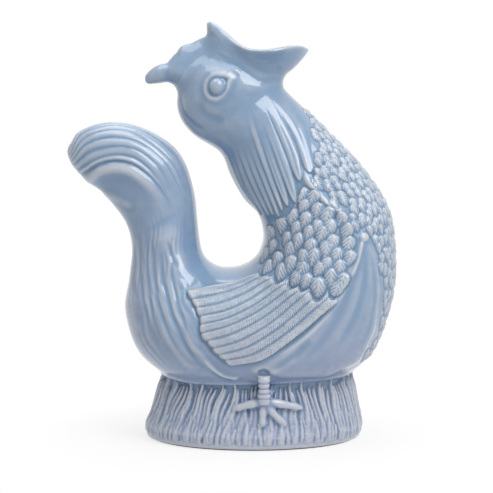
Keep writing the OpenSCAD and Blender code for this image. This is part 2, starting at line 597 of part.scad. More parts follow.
// Legs. They lie on the grass of the plinth's side, or on the flank where that stands out more.
function leg_seat(p) =
    let (
        low = plinth_side(p), high = flank(p, [TAIL_ROOT + 2, NECK_ROOT]),
        seat = high[0].y < low[0].y ? high : low)
    [seat[0] + seat[1] * grass_rise, seat[1]];
shank_shares = [[0.092, 0.149], [0.092, 0.124], [0.093, 0.099]];
toe_shares = [
    [[0.090, 0.092], [0.045, 0.080], [0.002, 0.064]], [[0.093, 0.092], [0.088, 0.056], [0.092, 0.024]],
    [[0.095, 0.092], [0.130, 0.054], [0.163, 0.024]], [[0.096, 0.092], [0.155, 0.082], [0.213, 0.064]]];
SHANK_WAIST_SHARE = 0.82;
toe_taper = [[0.9, 0.9], [1, 1], [0.9, 0.95], [0.75, 0.75], [0.3, 0.25]];
module shank_right() color(glaze)
    strip(to_size(shank_shares),
        [for (k = [0:2 * shank_rings]) shank_width / 2 * (k % 2 == 0 ? SHANK_WAIST_SHARE : 1)],
        [for (k = [0:2 * shank_rings]) toe_rise * (k % 2 == 0 ? SHANK_WAIST_SHARE : 1)],
        rounded_profile, function(p) leg_seat(p));
module shank_left() mirror([0, 1, 0]) shank_right();
module foot_right() color(glaze)
    for (t = toe_shares)
        strip(to_size(t), [for (e = toe_taper) e[0] * toe_width / 2], [for (e = toe_taper) e[1] * toe_rise],
            rounded_profile, function(p) leg_seat(p));
module foot_left() mirror([0, 1, 0]) foot_right();

foot_base();
grass_plinth();
grass_tufts();
body_shell();
tail_handle();
neck_shell();
head_shell();
pouring_lip();
tail_feathers();
comb();
beak();
eye_right();
eye_left();
hackle_right();
hackle_left();
breast_scales();
wing_right();
wing_left();
thigh_right();
thigh_left();
shank_right();
shank_left();
foot_right();
foot_left();
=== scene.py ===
"""Cockerel jug in pale blue glaze. Its casting is lofted from the outline of the bird, fused
into one skin, carved with feathers and grass, and parted into named pieces."""
import math
import bpy
import numpy as np
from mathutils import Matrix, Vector, kdtree


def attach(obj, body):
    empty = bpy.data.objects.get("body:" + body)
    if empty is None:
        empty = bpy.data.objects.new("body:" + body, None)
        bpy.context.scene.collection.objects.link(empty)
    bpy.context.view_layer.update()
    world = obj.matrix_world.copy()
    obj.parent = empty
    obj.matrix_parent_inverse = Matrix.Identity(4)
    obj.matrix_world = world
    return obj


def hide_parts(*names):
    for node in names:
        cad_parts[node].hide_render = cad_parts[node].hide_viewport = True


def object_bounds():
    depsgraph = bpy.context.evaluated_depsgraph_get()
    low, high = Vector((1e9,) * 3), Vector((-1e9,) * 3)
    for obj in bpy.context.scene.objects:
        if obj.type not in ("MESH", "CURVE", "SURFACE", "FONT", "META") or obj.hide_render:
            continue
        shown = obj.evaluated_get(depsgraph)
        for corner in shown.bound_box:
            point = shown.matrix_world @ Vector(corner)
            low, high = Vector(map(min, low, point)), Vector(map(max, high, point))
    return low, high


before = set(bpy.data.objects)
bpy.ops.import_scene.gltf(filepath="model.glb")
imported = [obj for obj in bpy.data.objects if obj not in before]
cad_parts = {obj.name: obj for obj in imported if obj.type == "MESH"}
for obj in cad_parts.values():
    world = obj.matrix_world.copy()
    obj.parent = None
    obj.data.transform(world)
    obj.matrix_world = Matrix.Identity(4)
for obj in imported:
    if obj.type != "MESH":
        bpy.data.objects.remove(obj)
cad_box = [list(corner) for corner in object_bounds()]
bpy.ops.object.select_all(action="DESELECT")

# Sizes of the jug in millimetres, as its solids have them
MM = 0.001
LENGTH, HEIGHT, WIDTH = 197.0, 248.0, 104.0
SIZE = np.array([LENGTH, HEIGHT])
WALL, LIP_WALL = 4.5, 3.6
PLINTH_LENGTH, PLINTH_WIDTH, PLINTH_TOP, FOOT_TOP = 129.6, 99.0, 37.5, 2.4
MOUTH_WIDTH, BEAK_WIDTH, COMB_THICKNESS, BROW_HALF = 53.0, 17.0, 11.0, 12.0
SHANK_RADIUS, TOE_RADIUS, EYE_RADIUS = 3.9, 3.0, 4.8
# Height at which the glaze ends above the foot
GLAZE_EDGE = 1.1
# Fineness of the fused skin
VOXEL = 0.52


def side_view(points):
    """Places of the side view, written in thousandths of the jug's length and height"""
    return np.array(points) / 1000 * SIZE


# Stations of the trunk from the tail tip to the mouth: outer edge and inner edge in side
# view, half width, and the share of the way across at which it is widest
TRUNK = np.array([
    [-0.499, 0.684, -0.497, 0.700, 0.04, 0.50], [-0.484, 0.658, -0.460, 0.740, 0.18, 0.50],
    [-0.456, 0.632, -0.375, 0.760, 0.29, 0.52], [-0.420, 0.606, -0.270, 0.747, 0.36, 0.54],
    [-0.372, 0.572, -0.165, 0.688, 0.39, 0.54], [-0.325, 0.522, -0.121, 0.595, 0.39, 0.52],
    [-0.305, 0.460, -0.108, 0.500, 0.41, 0.50], [-0.312, 0.385, -0.095, 0.447, 0.49, 0.50],
    [-0.320, 0.300, -0.070, 0.421, 0.64, 0.50], [-0.270, 0.200, -0.040, 0.409, 0.83, 0.48],
    [-0.130, 0.125, -0.015, 0.407, 0.95, 0.46], [0.060, 0.105, 0.007, 0.408, 1.00, 0.45],
    [0.250, 0.128, 0.030, 0.413, 1.00, 0.45], [0.395, 0.190, 0.058, 0.425, 0.98, 0.46],
    [0.468, 0.300, 0.083, 0.449, 0.94, 0.47], [0.492, 0.430, 0.096, 0.490, 0.88, 0.48],
    [0.472, 0.555, 0.080, 0.540, 0.78, 0.48], [0.398, 0.648, 0.035, 0.580, 0.67, 0.48],
    [0.303, 0.727, -0.005, 0.635, 0.58, 0.48], [0.213, 0.795, -0.035, 0.690, 0.52, 0.48],
    [0.162, 0.834, -0.115, 0.733, 0.48, 0.47], [0.149, 0.846, -0.162, 0.782, 0.47, 0.45],
    [0.146, 0.853, -0.167, 0.838, 0.46, 0.44], [0.147, 0.860, -0.150, 0.887, 0.43, 0.44],
    [0.151, 0.866, -0.075, 0.930, 0.37, 0.46]])
# Power that rounds the trunk's sections
FULLNESS = 0.9
# Stations where the castings meet, and where the blind throat ends
TAIL_ROOT, NECK_ROOT, HEAD_ROOT, MOUTH, THROAT_END = 7, 15, 20, 24, 21
# Rim from its peak to its spout, in side view, with the share of its half width
RIM = np.array([
    [-0.079, 1.000, 0.00], [-0.067, 0.997, 0.20], [-0.035, 0.978, 0.42], [0.000, 0.956, 0.66],
    [0.040, 0.938, 0.88], [0.085, 0.934, 1.00], [0.130, 0.936, 0.98], [0.175, 0.942, 0.78],
    [0.210, 0.943, 0.42], [0.229, 0.937, 0.00]])
# Share of the rim's length that its wall leans towards, and the bend of the flare below it
RIM_HEART = 0.45
FLARE_BEND = np.array([0.66, 0.12, 0.48])
# Levels of the plinth: shares of its height, length and width, and how far it is shifted
PLINTH = np.array([
    [0.00, 0.975, 0.975, -0.004], [0.06, 0.992, 0.994, -0.002], [0.17, 1.000, 1.000, 0.000],
    [0.36, 0.968, 0.962, 0.007], [0.60, 0.938, 0.930, 0.010], [0.82, 0.912, 0.905, 0.013],
    [0.94, 0.893, 0.880, 0.015], [1.00, 0.872, 0.845, 0.016]])
PLINTH_MIDDLE = 0.064 * LENGTH
# Lobed top of the comb from the beak to the peak of the lip, and its foot on the head
COMB_TOP = side_view([
    [-196, 908.5], [-184, 922], [-171, 929], [-158, 941], [-141, 948], [-124, 951], [-108, 958],
    [-92, 963], [-77.5, 967], [-66, 974]])
COMB_FOOT = side_view([[-158, 850], [-135, 860], [-105, 868], [-75, 880], [-50, 890]])
# Beak from its root to its tip: place, lower edge, upper edge, share of its width
BEAK = np.array([
    [-0.110, 0.840, 0.893, 1.30], [-0.150, 0.848, 0.902, 1.35], [-0.172, 0.849, 0.905, 1.12],
    [-0.190, 0.852, 0.903, 0.92], [-0.206, 0.853, 0.901, 0.80], [-0.234, 0.852, 0.893, 0.60],
    [-0.253, 0.851, 0.881, 0.40], [-0.2635, 0.856, 0.871, 0.16]])
# Middle of the eye
EYE = side_view([-46, 846])
# Lens that the side view is seen through: how far off, over which place and how high
VIEW_DISTANCE, VIEW_MIDDLE, VIEW_HEIGHT = 1500.0, 8.1, 240.0
# Shank of the leg from its top down, on the side of the plinth
SHANK = side_view([[92, 181], [92, 147], [93, 115]])
# Distance of the shank from the middle of the jug, at its top and at its foot
SHANK_OUT = (49.6, 46.9)
# Where the leg stands along the jug
LEG_MIDDLE = 18.2
# Each toe from its root to its tip
TOES = side_view([
    [[90, 117], [45, 109], [2, 98]], [[93, 116], [89, 86], [86, 57]],
    [[95, 116], [120, 89], [155, 62]], [[96, 117], [152, 109], [208, 98]]])
# Past this distance from the trunk's surface, a point belongs to another casting
LOOSE = 1.1
# Height above which such a casting is part of the head
HEAD_LEVEL = 200.0
# Angles round a ring
TURN = np.linspace(0, 2 * math.pi, 144, endpoint=False)


def lerp(a, b, t):
    """Value at a share of the way from a to b"""
    return a + (b - a) * t


def smooth(low, high, value):
    """0 below low and 1 above high, with a soft run between"""
    t = np.clip((value - low) / (high - low), 0, 1)
    return t * t * (3 - 2 * t)


def hump(value, middle, width):
    """1 at the middle, falling off to 0 on both sides of it"""
    return np.exp(-((value - middle) / width) ** 2)


def norm(vectors):
    """Length of each vector"""
    return np.linalg.norm(vectors, axis=-1)


def jitter(number, salt):
    """Repeatable value between -1 and 1 for a whole number"""
    number = np.asarray(number)
    return np.sin(number * 12.9898 + salt * 78.233) * np.cos(number * 4.1414 + salt * 3.7)


def mirrored(points):
    """Points brought over to the near half of the jug, where y is negative"""
    return np.stack([points[:, 0], -np.abs(points[:, 1]), points[:, 2]], -1)


def search_tree(points, numbers):
    """Tree that finds the numbers of the points nearest to a place"""
    tree = kdtree.KDTree(len(points))
    for i, p in zip(numbers, points):
        tree.insert(p, i)
    tree.balance()
    return tree


def through(a, b, c, d, t):
    """Curve from b to c that comes from a and goes on to d"""
    return b + 0.5 * t * ((c - a) + t * ((2 * a - 5 * b + 4 * c - d) + t * (3 * (b - c) + d - a)))


def along(table, place):
    """Smooth curve through the rows of a table, read at places counted in rows"""
    table, place = np.asarray(table, float), np.asarray(place, float)
    last = len(table) - 1
    i = np.clip(np.floor(place).astype(int), 0, last - 1)
    t = (place - i).reshape(place.shape + (1,) * (table.ndim - 1))
    return through(*(table[np.clip(i + k, 0, last)] for k in (-1, 0, 1, 2)), t)


def whole_curve(table, count):
    """A number of points along the whole curve through a table"""
    return along(table, np.linspace(0, len(table) - 1, count))


def station(place, inset=0.0):
    """Outer edge, inner edge, half width and widest share of the trunk at a place along it"""
    s = along(TRUNK, place)
    outer, inner = s[..., 0:2] * SIZE, s[..., 2:4] * SIZE
    chord = inner - outer
    step = chord / norm(chord)[..., None] * inset
    return outer + step, inner - step, s[..., 4] * WIDTH / 2 - inset, s[..., 5]


def skin(place, angle, inset=0.0):
    """Point of the trunk at a place along it and an angle from its outer edge"""
    place, angle = np.broadcast_arrays(np.asarray(place, float), np.asarray(angle, float))
    outer, inner, half, widest = station(place, inset)
    s = (1 - np.cos(angle)) / 2
    share = s + (widest - 0.5) * 4 * s * (1 - s)
    side = outer + (inner - outer) * share[..., None]
    bulge = np.abs(np.sin(angle)) ** FULLNESS * np.sign(np.sin(angle))
    return np.stack([side[..., 0], -half * bulge, side[..., 1]], -1)


def seen(points):
    """Side view of points as a lens at some distance shows them, larger where they are nearer"""
    near = VIEW_DISTANCE / (VIEW_DISTANCE - np.abs(points[..., 1]))
    return np.stack([VIEW_MIDDLE + (points[..., 0] - VIEW_MIDDLE) * near,
                     VIEW_HEIGHT + (points[..., 2] - VIEW_HEIGHT) * near], -1)


def plinth_share(height):
    """Share of the plinth's height at a height above the table"""
    return np.clip((height - FOOT_TOP) / (PLINTH_TOP - FOOT_TOP), 0, 1)


def plinth_oval(share):
    """Half length, half width and middle of the plinth at a share of its height"""
    levels = [np.interp(share, PLINTH[:, 0], PLINTH[:, k]) for k in (1, 2, 3)]
    return (levels[0] * PLINTH_LENGTH / 2, levels[1] * PLINTH_WIDTH / 2,
            PLINTH_MIDDLE + levels[2] * PLINTH_LENGTH)


def plinth_point(share, angle, out=0.0):
    """Point of the plinth's wall, moved out by a distance"""
    a, b, middle = plinth_oval(share)
    return np.stack(np.broadcast_arrays(middle + (a + out) * np.cos(angle), (b + out) * np.sin(angle),
                                        lerp(FOOT_TOP, PLINTH_TOP, share)), -1)


def plinth_turn(points, share):
    """Angle of points round the plinth"""
    a, b, middle = plinth_oval(share)
    return np.arctan2(points[:, 1] / b, (points[:, 0] - middle) / a)


def new_object(name, points, faces):
    """Object with a mesh of its own, from points in millimetres"""
    mesh = bpy.data.meshes.new(name)
    mesh.from_pydata((np.asarray(points) * MM).tolist(), [], [list(map(int, f)) for f in faces])
    mesh.update()
    thing = bpy.data.objects.new(name, mesh)
    bpy.context.scene.collection.objects.link(thing)
    return thing


def loft(name, rings):
    """Closed solid through rings of points, capped with a fan at both ends"""
    rings = np.asarray(rings, float)
    n, m = rings.shape[:2]
    i, j = np.meshgrid(np.arange(n - 1), np.arange(m), indexing="ij")
    k = (j + 1) % m
    quads = np.stack([i * m + j, i * m + k, (i + 1) * m + k, (i + 1) * m + j], -1).reshape(-1, 4)
    ends = np.array([rings[0].mean(0), rings[-1].mean(0)])
    fans = [f for j in range(m) for f in (
        [n * m, (j + 1) % m, j], [n * m + 1, (n - 1) * m + j, (n - 1) * m + (j + 1) % m])]
    return new_object(name, np.concatenate([rings.reshape(-1, 3), ends]), quads.tolist() + fans)


def rim_point(angle, inset):
    """Rim of the mouth, drawn in towards its heart by an inset"""
    last = len(RIM) - 1
    s = along(RIM, last * (1 + np.cos(angle)) / 2)
    x, z = s[:, 0] * LENGTH, s[:, 1] * HEIGHT
    y = -s[:, 2] * MOUTH_WIDTH / 2 * np.sign(np.sin(angle))
    y[np.abs(np.sin(angle)) < 1e-6] = 0
    heart = lerp(RIM[0, 0], RIM[last, 0], RIM_HEART) * LENGTH
    way = np.stack([heart - x, -y], -1)
    way = way / norm(way)[:, None] * inset
    return np.stack([x + way[:, 0], y + way[:, 1], z], -1)


def flare(share, inset_foot, inset_rim):
    """Ring of the lip's wall at a share of the way from the head up to the rim"""
    foot = skin(MOUTH, TURN, inset_foot)
    rim = rim_point(TURN, inset_rim) - [0, 0, LIP_WALL * 0.3]
    bend = foot + (rim - foot) * FLARE_BEND
    return lerp(lerp(foot, bend, share), lerp(bend, rim, share), share)


def trunk_solid():
    """Trunk, lip and a short blind throat as one closed wall"""
    shares = np.linspace(0, 1, 15)
    dip = [0, 0, 0.3]
    rings = [skin(u, TURN) for u in np.linspace(0, MOUTH, MOUTH * 7 + 1)]
    rings += [flare(s, 0, 0) for s in shares[1:]]
    rings += [rim_point(TURN, LIP_WALL * 0.2) - dip, rim_point(TURN, LIP_WALL / 2),
              rim_point(TURN, LIP_WALL * 0.8) - dip]
    rings += [flare(s, WALL, LIP_WALL) for s in shares[::-1]]
    rings += [skin(u, TURN, WALL) for u in np.linspace(MOUTH, THROAT_END, 22)[1:]]
    return loft("trunk", rings)


def comb_solid():
    """Lobed comb, thin along its top and as wide as the forehead at its foot"""
    rings = []
    for top, foot in zip(whole_curve(COMB_TOP, 90), whole_curve(COMB_FOOT, 90)):
        middle, up = (top + foot) / 2, (top - foot) / 2
        ring = []
        for a in TURN[::3]:
            rise = (1 + math.cos(a)) / 2
            thick = lerp(BROW_HALF, COMB_THICKNESS / 2, rise ** 0.8) * math.sin(a)
            ring.append([middle[0] + up[0] * math.cos(a), thick, middle[1] + up[1] * math.cos(a)])
        rings.append(ring)
    return loft("comb", rings)


def beak_solid():
    """Hooked beak, rooted in the head"""
    rings = []
    for x, low, high, wide in whole_curve(BEAK, 50):
        middle, up = (low + high) / 2 * HEIGHT, (high - low) / 2 * HEIGHT
        rings.append([[x * LENGTH, BEAK_WIDTH / 2 * wide * math.sin(a), middle + up * math.cos(a)]
                      for a in TURN[::4]])
    return loft("beak", rings)


def plinth_solid():
    """Plinth wall, drawn in under its foot and up over the belly"""
    under = plinth_point(0.0, TURN, -0.9)
    under[:, 2] = GLAZE_EDGE
    rings = [under] + [plinth_point(s, TURN) for s in np.linspace(0, 1, 40)]
    for inset, rise in ((0.1, 1.6), (-0.9, 3.8), (-4.5, 6.2), (-12.0, 8.2)):
        top = plinth_point(1.0, TURN, inset)
        top[:, 2] = PLINTH_TOP + rise
        rings.append(top)
    return loft("plinth", rings)


def tube(name, points, radii):
    """Round tube through points"""
    ways = np.gradient(points, axis=0)
    ways /= norm(ways)[:, None]
    rings = []
    for p, w, r in zip(points, ways, radii):
        side = np.cross(w, [0.0, 1.0, 0.0])
        side /= np.linalg.norm(side)
        up = np.cross(side, w)
        rings.append([p + r * (side * math.cos(a) + up * math.sin(a)) for a in TURN[::6]])
    return loft(name, rings)


def on_plinth(line, out):
    """Places the points of a side-view line on the near side of the plinth"""
    a, b, middle = plinth_oval(plinth_share(line[:, 1]))
    y = b * np.sqrt(np.clip(1 - ((line[:, 0] - middle) / a) ** 2, 0, 1))
    return np.stack([line[:, 0], -(y + out), line[:, 1]], -1)


def leg_solids():
    """Shanks, and toes that swell at their knuckles and round off at their tips"""
    parts = []
    t = np.linspace(0, 1, 30)
    for side in (1, -1):
        flip = np.array([1, side, 1])
        line = on_plinth(whole_curve(SHANK, 30), 0.0) * flip
        line[:, 1] = -lerp(SHANK_OUT[0], SHANK_OUT[1], t) * side
        parts.append(tube("shank", line, np.full(len(t), SHANK_RADIUS)))
        for toe in TOES:
            line = on_plinth(whole_curve(toe, 30), 0.5 + 1.0 * (1 - t)) * flip
            knuckles = 1 + 0.05 * np.cos(t * math.pi * 5)
            tip = np.sqrt(1 - (np.clip(t - 0.72, 0, 1) / 0.285) ** 2)
            parts.append(tube("toe", line, np.maximum((TOE_RADIUS - 1.1 * t) * knuckles * tip, 0.3)))
    return parts


def eye_solids():
    """Eyeballs, a little flatter than round"""
    parts = []
    place = skin(*place_of([EYE]))[0]
    for side in (1, -1):
        bpy.ops.mesh.primitive_uv_sphere_add(segments=48, ring_count=24, radius=EYE_RADIUS * MM)
        ball = bpy.context.object
        ball.scale = (1, 0.72, 1)
        ball.location = Vector((place[0], (place[1] + 0.3) * side, place[2])) * MM
        bpy.ops.object.transform_apply(location=True, scale=True)
        parts.append(ball)
    return parts


def flat_grid(rows, columns):
    """Two flat lists that pair every value of one row with every value of the other"""
    return [values.reshape(-1) for values in np.meshgrid(rows, columns, indexing="ij")]


# Samples of the trunk's near half, to find the place and angle of any point near it
SAMPLE_PLACES, SAMPLE_ANGLES = flat_grid(np.linspace(0, MOUTH, 241), np.linspace(0, math.pi, 37))
SAMPLES = search_tree(skin(SAMPLE_PLACES, SAMPLE_ANGLES), range(len(SAMPLE_PLACES)))


def unwrap(points):
    """Place along the trunk and angle from its outer edge, for points near the trunk"""
    points = mirrored(points)
    guess = SAMPLE_PLACES[[SAMPLES.find(p)[1] for p in points]]
    low, high = np.clip(guess - 0.45, 0, MOUTH), np.clip(guess + 0.45, 0, MOUTH)
    for _ in range(12):
        middle = (low + high) / 2
        outer, inner, half, widest = station(middle)
        a, b = inner - outer, points[:, [0, 2]] - outer
        before = a[:, 0] * b[:, 1] - a[:, 1] * b[:, 0] < 0
        low, high = np.where(before, middle, low), np.where(before, high, middle)
    share = np.clip((a * b).sum(1) / (a * a).sum(1), 0, 1)
    k = 4 * widest - 2
    even = np.abs(k) < 0.01
    root = np.sqrt(np.maximum(0, (1 + k) ** 2 - 4 * k * share))
    s = np.where(even, share, (1 + k - root) / (2 * np.where(even, 1, k)))
    sine = np.clip(np.abs(points[:, 1]) / half, 0, 1.3) ** (1 / FULLNESS)
    return middle, np.arctan2(sine, 1 - 2 * s)


def place_of(sides):
    """Place and angle on the near flank of points of the side view, in millimetres"""
    places, angles = flat_grid(np.linspace(0, MOUTH, 241), np.linspace(0.12, math.pi - 0.12, 61))
    grid = seen(skin(places, angles))
    best = [int(np.argmin(((grid - p) ** 2).sum(1))) for p in sides]
    return places[best], angles[best]


def finish_modifier(thing, kind, **settings):
    """Adds a modifier with its settings and applies it"""
    bpy.context.view_layer.objects.active = thing
    modifier = thing.modifiers.new(kind.lower(), kind)
    for key, value in settings.items():
        setattr(modifier, key, value)
    bpy.ops.object.modifier_apply(modifier=modifier.name)


def fused_skin():
    """All solids fused into one even skin"""
    parts = [trunk_solid(), comb_solid(), beak_solid(), plinth_solid()] + leg_solids() + eye_solids()
    bpy.ops.object.select_all(action="DESELECT")
    for part in parts:
        part.select_set(True)
    bpy.context.view_layer.objects.active = parts[0]
    bpy.ops.object.join()
    cast = parts[0]
    cast.name = "casting"
    finish_modifier(cast, "REMESH", mode="VOXEL", voxel_size=VOXEL * MM, use_smooth_shade=True)
    finish_modifier(cast, "SMOOTH", factor=0.5, iterations=9)
    return cast


def read_mesh(thing):
    """Points in millimetres and quads of a mesh"""
    mesh = thing.data
    points = np.empty(len(mesh.vertices) * 3)
    mesh.vertices.foreach_get("co", points)
    corners = np.empty(len(mesh.loops), int)
    mesh.loops.foreach_get("vertex_index", corners)
    return points.reshape(-1, 3) / MM, corners.reshape(-1, 4)


def normals_of(points, quads):
    """Normal of each vertex, from the diagonals of the quads round it"""
    n = np.cross(points[quads[:, 2]] - points[quads[:, 0]], points[quads[:, 3]] - points[quads[:, 1]])
    total = np.stack([sum(np.bincount(quads[:, c], n[:, k], len(points)) for c in range(4))
                      for k in range(3)], -1)
    return total / np.maximum(norm(total), 1e-9)[:, None]


def part_of(quads, chosen):
    """The vertices that the chosen quads use, and those quads numbered among them"""
    used, inverse = np.unique(quads[chosen], return_inverse=True)
    return used, inverse.reshape(-1, 4)


def softened(values, quads, reach):
    """Values averaged over their neighbours, in more rounds where the skin is finer"""
    a = quads.reshape(-1)
    b = np.roll(quads, 1, axis=1).reshape(-1)
    count = np.maximum(np.bincount(a, minlength=len(values)) + np.bincount(b, minlength=len(values)), 1)
    flat = values.reshape(len(values), -1).astype(float)
    for _ in range(int(reach / VOXEL ** 2)):
        for k in range(flat.shape[1]):
            column = flat[:, k]
            near = np.bincount(a, column[b], len(column)) + np.bincount(b, column[a], len(column))
            flat[:, k] = 0.5 * column + 0.5 * near / count
    return flat.reshape(values.shape)


def relaxed(points, quads, weight, reach):
    """Points smoothed where a weight is above 0, which fills the joints between castings"""
    used, part = part_of(quads, (weight[quads] > 0).any(axis=1))
    points[used] = lerp(points[used], softened(points[used], part, reach), weight[used][:, None])
    return points


def line_distance(sides, line):
    """Distance to a line, which side of it, and the share of its length, in the side view"""
    best = np.full(len(sides), 1e9)
    sign, place = np.ones(len(sides)), np.zeros(len(sides))
    for k in range(len(line) - 1):
        a, d = line[k], line[k + 1] - line[k]
        t = np.clip(((sides - a) @ d) / (d @ d), 0, 1)
        gap = sides - (a + t[:, None] * d)
        distance = norm(gap)
        better = distance < best
        best[better] = distance[better]
        sign[better] = np.sign(d[0] * gap[better, 1] - d[1] * gap[better, 0])
        place[better] = (k + t[better]) / (len(line) - 1)
    return best, sign, place


def inside_area(sides, area):
    """Which points of the side view lie inside an area"""
    inside = np.zeros(len(sides), bool)
    for a, b in zip(area, np.roll(area, -1, axis=0)):
        crosses = (a[1] > sides[:, 1]) != (b[1] > sides[:, 1])
        x = a[0] + (b[0] - a[0]) * (sides[:, 1] - a[1]) / (b[1] - a[1] if b[1] != a[1] else 1)
        inside ^= crosses & (sides[:, 0] < x)
    return inside


# Joints that slip fills: comb, beak, lip and brow, with how far the filling reaches and
# within what distance it is full
JOINTS = [
    ([[-185, 872], [-160, 895], [-120, 915], [-85, 922], [-62, 925]], 8.0, 3.0),
    ([[-172, 845], [-168, 875], [-165, 900]], 11.0, 4.0),
    ([[-62, 955], [-30, 912], [30, 888], [90, 862], [155, 862]], 9.0, 2.5),
    ([[-163, 866], [-148, 885], [-135, 900], [-110, 915], [-82, 924]], 13.0, 5.0)]
# Height that those joints lie above
JOINT_LEVEL = 195.0


class Clay:
    """The casting's skin while it is carved: where each vertex lies and how far it moves"""

    def __init__(self, cast):
        self.points, self.quads = read_mesh(cast)
        self.fill_joints()
        self.normals = normals_of(self.points, self.quads)
        # Rise over the skin, rise of the flight feathers on their own, run of their barbs,
        # and 1 where the flight feathers, the hackle and the small feathers lie
        zeros = np.zeros((6, len(self.points)))
        self.rise, self.wing_rise, self.barb, self.winged, self.hackled, self.scaled = zeros
        # Place along the trunk and angle round it, place in the side view, distance from
        # the trunk's surface, 1 on the trunk and 0 off it, and distance from the eye
        self.place, self.angle = unwrap(self.points)
        self.side = seen(self.points)
        self.off_trunk = norm(mirrored(self.points) - skin(self.place, self.angle))
        self.trunk = smooth(1.6, 0.7, self.off_trunk)
        self.eye = norm(self.side - EYE)
        # The same for the plinth: angle round it, distance from it, and 1 on it
        height = self.points[:, 2]
        share = plinth_share(height)
        self.turn = plinth_turn(self.points, share)
        self.off_plinth = norm(self.points - plinth_point(share, self.turn))
        wide = smooth(34.0, 37.0, height) * 1.6
        self.plinth = smooth(1.6 + wide, 0.7 + wide * 0.4, self.off_plinth)
        self.plinth *= smooth(PLINTH_TOP + 3.0, PLINTH_TOP + 1.0, height) * (self.off_trunk > 0.9)

    def fill_joints(self):
        """Fills the joints of the head and of the plinth with the trunk, as slip and glaze do"""
        points = self.points
        weight = np.zeros(len(points))
        for line, far, close in JOINTS:
            distance = line_distance(points[:, [0, 2]], side_view(line))[0]
            weight = np.maximum(weight, smooth(far, close, distance))
        points = relaxed(points, self.quads, weight * (points[:, 2] > JOINT_LEVEL), 110)
        rim = plinth_point(1.0, plinth_turn(points, 1.0), 0.5) + [0, 0, 1.2]
        self.points = relaxed(points, self.quads, smooth(11.0, 4.5, norm(points - rim)), 90)

    def near(self, line, margin, first=-1, last=MOUTH + 1):
        """Vertices on the trunk between two stations, within a margin of a line's box"""
        line = line.reshape(-1, 2)
        within = (self.side > line.min(0) - margin) & (self.side < line.max(0) + margin)
        between = (self.place > first) & (self.place < last) & (self.trunk > 0)
        return np.nonzero(within.all(axis=1) & between)[0]


def stroke(clay, points, width, rise, fade=0.3):
    """Carves a ridge along a side-view line, or a groove where rise is negative"""
    line = whole_curve(points, 6 * (len(points) - 1) + 1)
    near = clay.near(line, 3 * width)
    distance, sign, place = line_distance(clay.side[near], line)
    ends = smooth(0, fade, place) * smooth(1, 1 - fade, place) if fade else 1.0
    clay.rise[near] += rise * hump(distance, 0, width) * ends * clay.trunk[near]


def widened(table):
    """Fan with one more line and point at each edge, straight on from the last two"""
    rows = np.concatenate([2 * table[:1] - table[1:2], table, 2 * table[-1:] - table[-2:-1]])
    return np.concatenate([2 * rows[:, :1] - rows[:, 1:2], rows, 2 * rows[:, -1:] - rows[:, -2:-1]], axis=1)


def fan_point(table, v, w):
    """Point of a widened fan of lines, at a share across it and a share along it"""
    rows = along(table, 1 + v * (len(table) - 3))
    last = table.shape[1] - 1
    place = np.clip(1 + w * (last - 2), 0, last)
    i = np.clip(np.floor(place).astype(int), 0, last - 1)
    n = np.arange(len(v))
    return through(*(rows[n, np.clip(i + k, 0, last)] for k in (-1, 0, 1, 2)), (place - i)[:, None])


def in_space(sides):
    """Points of the side view with a third coordinate of 0, which the search tree needs"""
    return np.pad(sides, ((0, 0), (0, 1)))


def fan_places(fan, sides, margin=0.15):
    """Shares across and along a fan for points of the side view, and which points it covers"""
    table = widened(fan)
    across, down = flat_grid(*(np.linspace(-margin, 1 + margin, count) for count in (53, 61)))
    tree = search_tree(in_space(fan_point(table, across, down)), range(len(across)))
    nearest = [tree.find(p)[1] for p in in_space(sides)]
    v, w = across[nearest], down[nearest]
    e = 0.01
    for _ in range(3):
        at = fan_point(table, v, w)
        dv = (fan_point(table, v + e, w) - at) / e
        dw = (fan_point(table, v, w + e) - at) / e
        gap = sides - at
        det = dv[:, 0] * dw[:, 1] - dv[:, 1] * dw[:, 0]
        det = np.where(np.abs(det) < 1e-3, 1e-3, det)
        v = v + np.clip((gap[:, 0] * dw[:, 1] - gap[:, 1] * dw[:, 0]) / det, -0.05, 0.05)
        w = w + np.clip((dv[:, 0] * gap[:, 1] - dv[:, 1] * gap[:, 0]) / det, -0.05, 0.05)
    covered = norm(sides - fan_point(table, v, w)) < 0.6
    return v, w, covered & (np.abs(v - 0.5) < 0.5 + margin) & (np.abs(w - 0.5) < 0.5 + margin)


# Stations that the wing and the hackle lie between, where the tail's ribs end, and how far
# round the first two the skin is looked at
WING_SPAN, HACKLE_SPAN, TAIL_SPAN, FAN_MARGIN = (8, 15.5), (15, 23), 6.6, 8
# Lines of the wing from its upper edge down, each from a feather's tip to its root
WING_FAN = side_view([
    [[-135, 345], [-65, 355], [5, 366], [75, 388]],
    [[-106, 300], [-30, 311], [50, 338], [115, 372]],
    [[-98, 255], [-10, 273], [80, 308], [160, 355]],
    [[-62, 215], [30, 236], [125, 280], [210, 338]],
    [[-20, 185], [80, 203], [185, 258], [272, 318]]])
# Number of flight feathers, and the length that their barbs are measured over
FLIGHT_FEATHERS, FLIGHT_LENGTH = 10, 64.0


